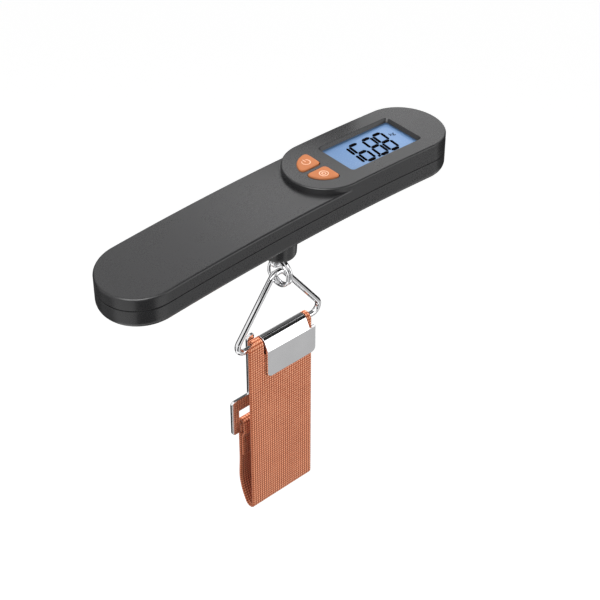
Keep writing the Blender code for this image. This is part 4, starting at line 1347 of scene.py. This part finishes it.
@dataclass
class PullGear:
    """The pull eye, the split ring and the triangle link."""

    eye_z: float = -26 * MM
    eye_radius: float = 3.5 * MM
    eye_wire: float = 1.0 * MM
    eye_steps: int = 72
    shank: float = 1.5 * MM
    shank_top: float = 2.85 * MM
    shank_bite: float = 0.2 * MM
    shank_round: Rounding = (0.3 * MM, 3)
    ring_radius: float = 5.3 * MM
    ring_wire: float = 0.6 * MM
    ring_z: float = -29.2 * MM
    ring_pitch: float = 1.62 * MM
    ring_jog: float = math.radians(66)
    ring_steps: int = 180
    link_x: float = 1.0 * MM
    link_y: float = 2.0 * MM
    link_wire: float = 1.15 * MM
    bar_z: float = -59.2937 * MM
    link_height: float = 31 * MM
    link_half: float = 22.7 * MM
    link_bends: Pair = (4.2 * MM, 3.3 * MM)
    bend_steps: int = 16

    def build(self, finishes: Finishes) -> None:
        """Builds the three pieces.

        Args:
            finishes: the materials.
        """
        Bench.seat(self._eye(finishes.wire), Body.HOUSING, "plated_steel", "pull_eye")
        Bench.seat(self._ring(finishes.wire), Body.RING, "plated_steel", "split_ring")
        Bench.seat(self._link(finishes.wire), Body.LINK, "plated_steel", "triangle_link")

    def _eye(self, finish: Material) -> Object:
        """A closed eye on a round shank.

        Args:
            finish: its material.

        Returns:
            The object.
        """
        middle = Vector((0, 0, self.eye_z + self.eye_radius))
        angles = (2 * math.pi * n / self.eye_steps for n in range(self.eye_steps))
        radius = self.eye_radius
        turn = [Vector((radius * math.cos(a), 0, radius * math.sin(a))) + middle for a in angles]
        loop = Bench.tube("eye_loop", turn, self.eye_wire, finish, True)
        root = self.eye_z + 2 * self.eye_radius - self.shank_bite
        shank = Bench.disc(self.shank, root, self.shank_top, sides=40)
        Bench.bevel(shank, Bench.rim(shank, self.shank_top), *self.shank_round)
        bm = Bench.combine(Bench.lifted(loop.data), [("UNION", shank)])
        return Bench.piece("pull_eye_wire", bm, finish, 40.0)

    def _ring(self, finish: Material) -> Object:
        """Two turns of wire side by side with a jog from one to the other.

        Args:
            finish: its material.

        Returns:
            The object.
        """
        turn = 2 * math.pi
        start, end = self.ring_jog / 2, 2 * turn - self.ring_jog / 2
        points = []
        for number in range(self.ring_steps + 1):
            angle = start + (end - start) * number / self.ring_steps
            share = min(max((angle - turn) / (self.ring_jog * 0.9) + 0.5, 0.0), 1.0)
            side = (share * share * (3 - 2 * share) - 0.5) * self.ring_pitch
            points.append(Vector((side, self.ring_radius * math.cos(angle),
                                  self.ring_z + self.ring_radius * math.sin(angle))))
        return Bench.tube("split_ring_wire", points, self.ring_wire, finish, False, 4)

    def _link(self, finish: Material) -> Object:
        """A closed triangle of wire with round bends.

        Args:
            finish: its material.

        Returns:
            The object.
        """
        top, foot = self.link_bends
        corners = (((0.0, self.link_height), top), ((self.link_half, 0.0), foot),
                   ((-self.link_half, 0.0), foot))
        points = []
        for number, (corner, bend) in enumerate(corners):
            here = Vector(corner)
            back = (Vector(corners[number - 1][0]) - here).normalized()
            ahead = (Vector(corners[(number + 1) % 3][0]) - here).normalized()
            half = back.angle(ahead) / 2
            middle = here + (back + ahead).normalized() * bend / math.sin(half)
            arm = here + back * bend / math.tan(half) - middle
            sweep = math.pi - 2 * half
            for step in range(self.bend_steps + 1):
                spot = middle + Matrix.Rotation(-sweep * step / self.bend_steps, 2) @ arm
                points.append(Vector((self.link_x + spot.x, self.link_y, self.bar_z + spot.y)))
        return Bench.tube("link_wire", points, self.link_wire, finish, True)


@dataclass
class HookClasp:
    """Stamped clasp: a back plate cut to a hook, bent over the link's bar to a flat front lip."""

    bar: Pair = (2.0 * MM, -59.2937 * MM)
    thick: float = 1.2 * MM
    roll: float = 1.95 * MM
    roll_steps: int = 20
    tongue: Pair = (-7.7 * MM, 12.8 * MM)
    lip_right: float = 15.7 * MM
    lip_forward: float = 3.45 * MM
    lip_crease: float = 2.4 * MM
    lip_height: float = 12.1 * MM
    lip_corner: Rounding = (2.0 * MM, 8)
    plate_back: float = 3.55 * MM
    plate_crease: float = 2.7 * MM
    plate: Pair = (-11.5 * MM, 15.7 * MM)
    plate_drop: float = 30.9 * MM
    ear: float = 2.7 * MM
    ear_gap: float = 0.5 * MM
    arm: float = 5.7 * MM
    hook_left: float = -19.7 * MM
    hook_lip: float = 3.4 * MM
    hook_gap: float = 7.0 * MM
    finger: float = 3.8 * MM
    finger_end: float = 11.0 * MM
    corner: float = 1.4 * MM
    corner_steps: int = 6
    edge: tuple[float, int, float] = (0.16 * MM, 5, 40.0)

    def build(self, finishes: Finishes) -> None:
        """Builds the clasp.

        Args:
            finishes: the materials.
        """
        bm = bmesh.new()
        self._tongue(bm, self._plate(bm))
        made = Bench.piece("hook_clasp", Bench.outward(bm), finishes.steel, 14.0)
        Bench.thicken(made, self.thick, self.edge)
        Bench.settle(made, 20.0)
        Bench.even_normals(made)
        Bench.seat(made, Body.STRAP_SET, "plated_steel", "clasp")

    def _plate(self, bm: BMesh) -> tuple[Vector, Vector]:
        """Adds the back plate with its ear, arm, hook lip and finger, with rounded corners.

        Args:
            bm: the clasp's mesh.

        Returns:
            The ends of the edge that the tongue grows from.
        """
        y, z = self.bar[0] + self.plate_back, self.bar[1]
        top, low = z - self.plate_crease, z - self.plate_drop
        ear_right = self.tongue[0] - self.ear_gap
        finger_top = low - self.hook_gap
        finger_low = finger_top - self.finger
        inner = self.hook_left + self.hook_lip
        c = self.corner
        plan = (((self.tongue[0], top), 0.0), ((ear_right, top), 0.0), ((ear_right, z + self.ear), c / 3),
                ((self.plate[0], z + self.ear), 1.4 * c), ((self.plate[0], low + self.arm), 0.0),
                ((self.hook_left, low + self.arm), c), ((self.hook_left, finger_low), c),
                ((self.finger_end, finger_low), c), ((self.finger_end, finger_top), c),
                ((inner, finger_top), 0.0), ((inner, low), 0.0), ((self.plate[1], low), c),
                ((self.plate[1], top), 0.0), ((self.tongue[1], top), 0.0))
        verts = [bm.verts.new((x, y, height)) for (x, height), _ in plan]
        bm.faces.new(verts)
        root = (verts[0].co.copy(), verts[-1].co.copy())
        for radius in sorted({r for _, r in plan if r}):
            tight = [v for v, (_, r) in zip(verts, plan) if r == radius]
            Bench.bevel(bm, tight, radius, self.corner_steps, "VERTICES")
        return root

    def _tongue(self, bm: BMesh, root: tuple[Vector, Vector]) -> None:
        """Adds the tongue: a slope, the roll over the bar, a front slope and the lip.

        Args:
            bm: the clasp's mesh.
            root: the ends of the edge that it grows from.
        """
        y, z = self.bar
        ends = [v for v in bm.verts if min((v.co - p).length for p in root) < NEAR]
        angles = []
        for place, side in ((Vector((self.plate_back, -self.plate_crease)), 1),
                            (Vector((-self.lip_forward, -self.lip_crease)), -1)):
            angles.append(math.atan2(place.y, place.x) + side * math.acos(self.roll / place.length))
        first, last = angles[0], angles[1] + 2 * math.pi
        start = Vector((y + self.roll * math.cos(first), z + self.roll * math.sin(first)))
        edge = self._pull(bm, bm.edges.get(ends), start)
        spun = bmesh.ops.spin(bm, geom=[edge, *edge.verts], cent=(0, y, z), axis=(1, 0, 0),
                              angle=last - first, steps=self.roll_steps, use_duplicate=False)
        crease = Vector((y - self.lip_forward, z - self.lip_crease))
        edge = self._pull(bm, Bench.only(BMEdge, spun["geom_last"])[0], crease)
        upper = max(edge.verts, key=lambda v: v.co.x)
        edge = self._pull(bm, edge, crease - Vector((0, self.lip_height)))
        lower = max(edge.verts, key=lambda v: v.co.x)
        grown = bmesh.ops.extrude_edge_only(bm, edges=[bm.edges.get((upper, lower))])["geom"]
        bmesh.ops.translate(bm, verts=Bench.only(BMVert, grown),
                            vec=(self.lip_right - self.tongue[1], 0, 0))
        low_z = crease.y - self.lip_height
        low = [v for v in bm.verts if abs(v.co.z - low_z) < NEAR and abs(v.co.y - crease.x) < NEAR]
        tight = [min(low, key=lambda v: v.co.x), max(low, key=lambda v: v.co.x)]
        Bench.bevel(bm, tight, *self.lip_corner, "VERTICES")

    @staticmethod
    def _pull(bm: BMesh, edge: BMEdge, to: Vector) -> BMEdge:
        """Extrudes an edge along X to a place in (y, z).

        Args:
            bm: the mesh.
            edge: the edge to extrude.
            to: where the new edge goes.

        Returns:
            The new edge.
        """
        grown = bmesh.ops.extrude_edge_only(bm, edges=[edge])["geom"]
        points = Bench.only(BMVert, grown)
        for vert in points:
            vert.co.y, vert.co.z = to
        return [e for e in Bench.only(BMEdge, grown) if all(v in points for v in e.verts)][0]


@dataclass
class WebbingStrap:
    """One length of webbing with a loop at each end.

    It runs from a tail sewn behind the front run over the bar, in a loop with a window for the clasp, down
    the front, round a fold, up the back and round the hook's finger to a sewn flap.
    """

    clasp: HookClasp
    width: float = 30 * MM
    thick: float = 1.2 * MM
    roll: float = 1.95 * MM
    gap: float = 0.3 * MM
    drop: float = 80.4 * MM
    fold: float = 2.0 * MM
    fold_end: float = 330.0
    lean: Pair = (0.5, 0.866)
    back_rise: float = 12 * MM
    belly: float = 0.45 * MM
    tail: float = 12.5 * MM
    tail_top: float = 4.0
    tail_pull: float = 1.6
    flap: float = 9 * MM
    tuck: float = 3 * MM
    settle: float = 4 * MM
    back_offset: float = 1.3 * MM
    slack: float = 0.35 * MM
    window_drop: float = 3.4 * MM
    window: Pair = (-8.1 * MM, 13.2 * MM)
    step: float = 2.0 * MM
    columns: int = 12
    selvedge: tuple[float, int, float] = (0.3 * MM, 2, 60.0)
    weave_shift: float = 50 * MM
    tail_rows: Pair = (9.6 * MM, 11.4 * MM)
    flap_rows: Triple = (1.6 * MM, 3.4 * MM, 7.4 * MM)
    stitch: Triple = (1.6 * MM, 0.32 * MM, 0.5 * MM)
    stitch_pitch: float = 2.3 * MM

    def course(self) -> list[Vector]:
        """The webbing's middle line.

        Returns:
            Points in (y, z).
        """
        y, z = self.clasp.bar
        layer = self.thick + self.gap
        plate_y = y + self.clasp.plate_back
        finger_top = z - self.clasp.plate_drop - self.clasp.hook_gap
        finger_low = finger_top - self.clasp.finger
        front_y = y - self.roll
        tail_y = front_y + layer
        rise = self.tail_top * self.roll
        tail_top = Vector((tail_y, z - rise))
        behind = Vector((y + self.roll, z))
        pull = Vector((0.0, self.tail_pull * self.roll))
        path = [Vector((tail_y, tail_top.y - self.tail + rise)), tail_top]
        path += Bench.bezier(tail_top, tail_top + pull, behind - pull, behind, 14)
        path += Bench.arc(Vector((y, z)), self.roll, 0.0, math.pi, 24)[1:]
        fold = Vector((front_y + self.fold, z - self.drop + self.thick / 2 + self.fold))
        path += Bench.arc(fold, self.fold, math.pi, math.radians(self.fold_end), 14)
        end = path[-1]
        leave = Vector(self.lean) * self.back_rise / 3
        back = Vector((plate_y + self.back_offset + self.belly, end.y + self.back_rise))
        path += Bench.bezier(end, end + leave, back - Vector((0, self.back_rise / 3)), back, 24)
        roll = self.clasp.thick / 2 + self.slack + self.thick / 2
        rear = Vector((plate_y + roll, finger_low))
        low = Vector((plate_y + self.back_offset, rear.y - self.settle))
        bend = Vector((0, self.settle / 2))
        sewn = low - Vector((0, self.flap + self.thick))
        ease = Vector((0, (sewn - back).y / 3))
        path += Bench.bezier(back, back + ease, sewn - ease, sewn, 12)
        path.append(low)
        path += Bench.bezier(low, low + bend, rear - bend, rear, 12)
        finger = Vector((plate_y, finger_top + self.slack - self.clasp.thick / 2))
        path += Bench.arc(finger, roll, 0.0, math.pi, 20)
        flap = Vector((low.x - layer, low.y))
        front = Vector((plate_y - roll, rear.y))
        path.append(front)
        path += Bench.bezier(front, front - bend, flap + bend, flap, 12)
        path.append(flap - Vector((0, self.flap)))
        return self._resampled(path)

    def _resampled(self, path: list[Vector]) -> list[Vector]:
        """Splits long straight runs into short steps.

        Args:
            path: the points.

        Returns:
            The points with those between them.
        """
        made = [path[0]]
        for first, second in zip(path, path[1:]):
            count = max(1, round((second - first).length / self.step))
            made += [first.lerp(second, n / count) for n in range(1, count + 1)]
        return made

    def build(self, finishes: Finishes) -> None:
        """Builds the strap and its seams.

        Args:
            finishes: the materials.
        """
        course = self.course()
        length = sum((b - a).length for a, b in zip(course, course[1:]))
        bm = self._ribbon(course)
        self._unwrap(bm, course)
        self._turn_in(bm)
        limit = self.clasp.bar[1] - self.window_drop
        spare = [f for f in bm.faces if self.window[0] < f.calc_center_median().x < self.window[1]
                 and f.calc_center_median().z > limit]
        area = sum(f.calc_area() for f in bm.faces) - sum(f.calc_area() for f in spare)
        bmesh.ops.delete(bm, geom=spare, context="FACES")
        made = Bench.piece("webbing_strap", Bench.outward(bm), finishes.webbing, 80.0)
        Bench.thicken(made, self.thick, self.selvedge)
        Bench.seat(made, Body.STRAP_SET, "orange_webbing", "strap")
        seams = Bench.seat(self._seams(finishes.thread), Body.STRAP_SET, "orange_webbing")
        LOG.info("webbing: %.1f mm long, %.0f mm2", length / MM, area / MM ** 2)

    def _ribbon(self, course: list[Vector]) -> BMesh:
        """Draws the middle line across the strap's width, with columns at the window's sides.

        Args:
            course: the middle line.

        Returns:
            The mesh.
        """
        even = (-self.width / 2 + self.width * n / self.columns for n in range(self.columns + 1))
        columns = sorted({*(round(x, 7) for x in even), *self.window})
        bm = bmesh.new()
        verts = [bm.verts.new((columns[0], p.x, p.y)) for p in course]
        edges = [bm.edges.new(pair) for pair in zip(verts, verts[1:])]
        for first, second in zip(columns, columns[1:]):
            grown = bmesh.ops.extrude_edge_only(bm, edges=edges)["geom"]
            edges = [e for e in Bench.only(BMEdge, grown) if abs(e.verts[0].co.x - e.verts[1].co.x) < NEAR]
            bmesh.ops.translate(bm, verts=Bench.only(BMVert, grown), vec=(second - first, 0, 0))
        return bm

    def _turn_in(self, bm: BMesh) -> None:
        """Turns the loop and the tail in from the left edge of the front run.

        Args:
            bm: the strap's mesh.
        """
        y, z = self.clasp.bar
        edge = -self.width / 2
        for vert in bm.verts:
            if vert.co.z > z - self.tail - self.gap and vert.co.x < self.window[0]:
                share = min(1.0, (vert.co.y - y + self.roll) / (self.thick + self.gap))
                vert.co.x += self.tuck * share * (self.window[0] - vert.co.x) / (self.window[0] - edge)

    def _unwrap(self, bm: BMesh, course: list[Vector]) -> None:
        """Writes the place across and along the strap, in metres, to a UV map.

        Args:
            bm: the strap's mesh.
            course: its middle line.
        """
        along = [0.0]
        for first, second in zip(course, course[1:]):
            along.append(along[-1] + (second - first).length)
        lookup = {(round(p.x, 7), round(p.y, 7)): v for p, v in zip(course, along)}
        layer = bm.loops.layers.uv.new("weave")
        for face in bm.faces:
            for loop in face.loops:
                spot = loop.vert.co
                run = lookup[(round(spot.y, 7), round(spot.z, 7))]
                loop[layer].uv = (spot.x + self.weave_shift, run)

    def _seams(self, finish: Material) -> Object:
        """Rows of stitches that hold the tail to the front run and the flap to the back run.

        Args:
            finish: their material.

        Returns:
            The object.
        """
        y, z = self.clasp.bar
        layer = self.thick + self.gap
        front = y - self.roll - self.thick / 2
        back = y + self.clasp.plate_back + self.back_offset + self.thick / 2
        low = z - self.clasp.plate_drop - self.clasp.hook_gap - self.clasp.finger - self.settle
        bm = bmesh.new()
        left = -self.width / 2
        for down in self.tail_rows:
            self._row(bm, left + self.tuck, front + 2 * self.thick + self.gap, z - down)
        for down in self.flap_rows:
            self._row(bm, left, back, low - down)
            self._row(bm, left, back - self.thick - layer, low - down)
        return Bench.piece("strap_seams", bm, finish, 60.0)

    def _row(self, bm: BMesh, left: float, y: float, z: float) -> None:
        """Adds one row of stitches.

        Args:
            bm: the seams' mesh.
            left: the left edge from which it runs to the strap's right edge.
            y: its place on Y.
            z: its height.
        """
        run = self.width / 2 - left
        count = round(run / self.stitch_pitch)
        for number in range(count):
            x = left + run * (number + 0.5) / count
            spot = Matrix.Translation((x, y, z)) @ Matrix.Diagonal((*self.stitch, 1.0))
            bmesh.ops.create_icosphere(bm, subdivisions=1, radius=0.5, matrix=spot)


@dataclass
class CaseScrews:
    """Four cross-slot screws in the underside."""

    body: ArchedBody
    places: tuple[Pair, ...]
    sink: float = 0.9 * MM
    head: float = 1.9 * MM
    head_height: float = 0.9 * MM
    head_chamfer: float = 0.3 * MM
    shank: float = 1.0 * MM
    tip: float = 2.8 * MM
    tip_chamfer: float = 0.5 * MM
    tip_share: float = 0.6
    slot: Triple = (2.2 * MM, 0.55 * MM, 0.9 * MM)

    def build(self, finishes: Finishes) -> None:
        """Builds the screws.

        Args:
            finishes: the materials.
        """
        low = self.body.bottom + self.sink
        high = low + self.head_height
        long, thin, deep = self.slot
        profile = [(0.0, self.tip), (self.shank * self.tip_share, self.tip),
                   (self.shank, self.tip - self.tip_chamfer), (self.shank, high), (self.head, high),
                   (self.head, low + self.head_chamfer), (self.head - self.head_chamfer, low), (0.0, low)]
        for number, (x, y) in enumerate(self.places, 1):
            cross = [("DIFFERENCE", Bench.block(size, (0, 0, low)))
                     for size in ((long, thin, deep), (thin, long, deep))]
            bm = Bench.combine(Bench.revolve(profile, 40), cross)
            bmesh.ops.translate(bm, verts=bm.verts, vec=(x, y, -self.body.drop(x)))
            name = f"case_screw_{number}"
            Bench.seat(Bench.piece(f"cross_{name}", bm, finishes.zinc), Body.HOUSING, "zinc_screw", name)


@dataclass
class Studio:
    """Camera, floor, soft lamps, and cards that only reflections see.

    A lamp is a name, its place, the point that it faces, its side and its power. A card is a name, its
    place, the point that it faces, its half side and how bright it looks, where 1 is white.
    """

    spot: Triple = (-0.29831, -0.34494, 0.32714)
    look: Triple = (0.5175, 0.5795, -0.6296)
    lens: float = 98.04
    sensor: float = 36.0
    nearest: float = 0.01
    floor_z: float = -0.9
    floor_half: float = 12.0
    sky_light: float = 0.4
    lamps: tuple[Stand, ...] = (
        ("key_softbox", (0.3, 0.25, 0.36), (0.0, 0.0, -0.02), 0.35, 4.4),
        ("front_softbox", (0.1, -0.9, 0.25), (0.0, 0.0, -0.07), 0.5, 4.6),
        ("left_softbox", (-0.8, 0.2, 0.3), (0.0, 0.0, 0.0), 0.4, 2.3))
    cards: tuple[Stand, ...] = (
        ("lip_card", (0.2, -0.22, -0.27), (0.0, 0.0, -0.07), 0.14, 0.53),
        ("rear_card", (0.4, 0.376, 0.35), (0.03, 0.0, 0.0), 0.12, 2.0),
        ("brow_card", (-0.4, -0.19, 0.47), (-0.05, 0.0, 0.0), 0.28, 6.5),
        ("back_flag", (0.19, 0.31, 0.0), (0.0, 0.0, -0.07), 0.13, 0.2),
        ("front_flag", (0.24, -0.22, 0.3), (0.0, 0.0, -0.07), 0.15, 0.02),
        ("roof_flag", (0.22, 0.02, 0.33), (0.0, 0.0, -0.06), 0.18, 0.03),
        ("roll_flag", (0.068, 0.078, 0.018), (0.004, 0.002, -0.059), 0.032, 0.12),
        ("front_low_flag", (-0.14, -0.39, -0.03), (0.0, 0.0, -0.05), 0.13, 0.02),
        ("corner_flag", (-0.31, -0.33, 0.05), (0.058, 0.008, 0.0), 0.12, 0.02),
        ("near_low_flag", (-0.22, -0.3, -0.265), (-0.06, 0.0, 0.0), 0.15, 0.02),
        ("left_flag", (-0.3, 0.2, -0.25), (-0.06, 0.0, 0.0), 0.12, 0.25),
        ("front_card", (0.26, -0.41, 0.06), (0.0, 0.0, 0.0), 0.17, 2.2),
        ("right_flag", (0.48, -0.04, -0.08), (0.0, 0.0, -0.05), 0.24, 0.02),
        ("rear_flag", (-0.08, 0.42, -0.08), (0.0, 0.0, -0.05), 0.28, 0.08),
        ("rear_low_flag", (-0.15, 0.25, -0.3), (-0.15, 0.25, 0.0), 0.13, 0.05),
        ("low_flag", (0.24, 0.22, -0.3), (0.24, 0.22, 0.0), 0.25, 0.05),
        ("under_flag", (0.02, 0.0, -0.32), (0.02, 0.0, 0.0), 0.09, 0.02))

    def build(self) -> None:
        """Builds the studio."""
        scene = bpy.context.scene
        scene.view_settings.view_transform = "Standard"
        camera = Bench.link("photo_camera", bpy.data.cameras.new("photo_camera"))
        self._aim(camera, self.spot, Vector(self.look))
        camera.data.lens = self.lens
        camera.data.sensor_width = self.sensor
        camera.data.clip_start = self.nearest
        scene.camera = camera
        place = Matrix.Translation((0, 0, self.floor_z))
        self._panel("studio_floor", self.floor_half, place, PaleFloor("floor_white"))
        self._sky()
        for lamp in self.lamps:
            self._lamp(*lamp)
        for card in self.cards:
            self._card(*card)

    @staticmethod
    def _aim(made: Object, spot: Triple, look: Vector) -> None:
        """Puts a camera or lamp in its place.

        Args:
            made: the camera or lamp.
            spot: where it stands.
            look: the direction that it faces.
        """
        made.location = spot
        made.rotation_mode = "QUATERNION"
        made.rotation_quaternion = look.to_track_quat("-Z", "Y")

    @staticmethod
    def _panel(name: str, half: float, place: Matrix, finish: Finish) -> Object:
        """Adds a flat square for the studio.

        Args:
            name: its name.
            half: its half side.
            place: its place and turn.
            finish: its finish.

        Returns:
            The object.
        """
        bm = bmesh.new()
        bmesh.ops.create_grid(bm, x_segments=1, y_segments=1, size=half, matrix=place)
        mesh = Bench.mesh(name, bm)
        mesh.materials.append(finish.make())
        made = Bench.link(name, mesh)
        return made

    def _card(self, name: str, spot: Triple, target: Triple, half: float, shade: float) -> None:
        """Adds a card that only reflections see.

        Args:
            name: the card's name.
            spot: where it hangs.
            target: the point that it faces.
            half: its half side.
            shade: how bright it looks, where 1 is white.
        """
        turn = (Vector(target) - Vector(spot)).to_track_quat("Z", "Y").to_matrix().to_4x4()
        card = self._panel(name, half, Matrix.Translation(spot) @ turn, CardGlow(name, shade))
        card.visible_camera = False
        card.visible_diffuse = False
        card.visible_shadow = False

    def _sky(self) -> None:
        """Sets a soft white surround that is plain white to the camera."""
        world = bpy.data.worlds.new("studio_sky")
        bpy.context.scene.world = world
        g = Graph(world)
        g.set(Color=WHITE, Strength=g.span(g.seen(), (0.0, 1.0), (self.sky_light, 1.0)))

    def _lamp(self, name: str, spot: Triple, target: Triple, side: float, power: float) -> None:
        """Adds a square soft lamp.

        Args:
            name: the lamp's name.
            spot: where it stands.
            target: the point that it faces.
            side: its side.
            power: its power in watts.
        """
        data = bpy.data.lights.new(name, "AREA")
        data.size = side
        data.energy = power
        lamp = Bench.link(name, data)
        self._aim(lamp, spot, Vector(target) - Vector(spot))
        lamp.visible_glossy = False


def main() -> None:
    """Builds the scale's looks and the studio."""
    logging.basicConfig(level=logging.INFO, format="%(message)s")
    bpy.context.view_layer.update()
    finishes = Finishes()
    finishes.dress_frame()
    body = ArchedBody()
    sector = KeySector()
    shells = Shells(body, sector)
    shells.upper(finishes.shell)
    shells.lower(finishes.shell)
    Keys(body, sector).build(finishes)
    Display(body).build(finishes)
    PullGear().build(finishes)
    clasp = HookClasp()
    clasp.build(finishes)
    WebbingStrap(clasp).build(finishes)
    CaseScrews(body, shells.screws).build(finishes)
    Studio().build()


if __name__ == "__main__":
    main()
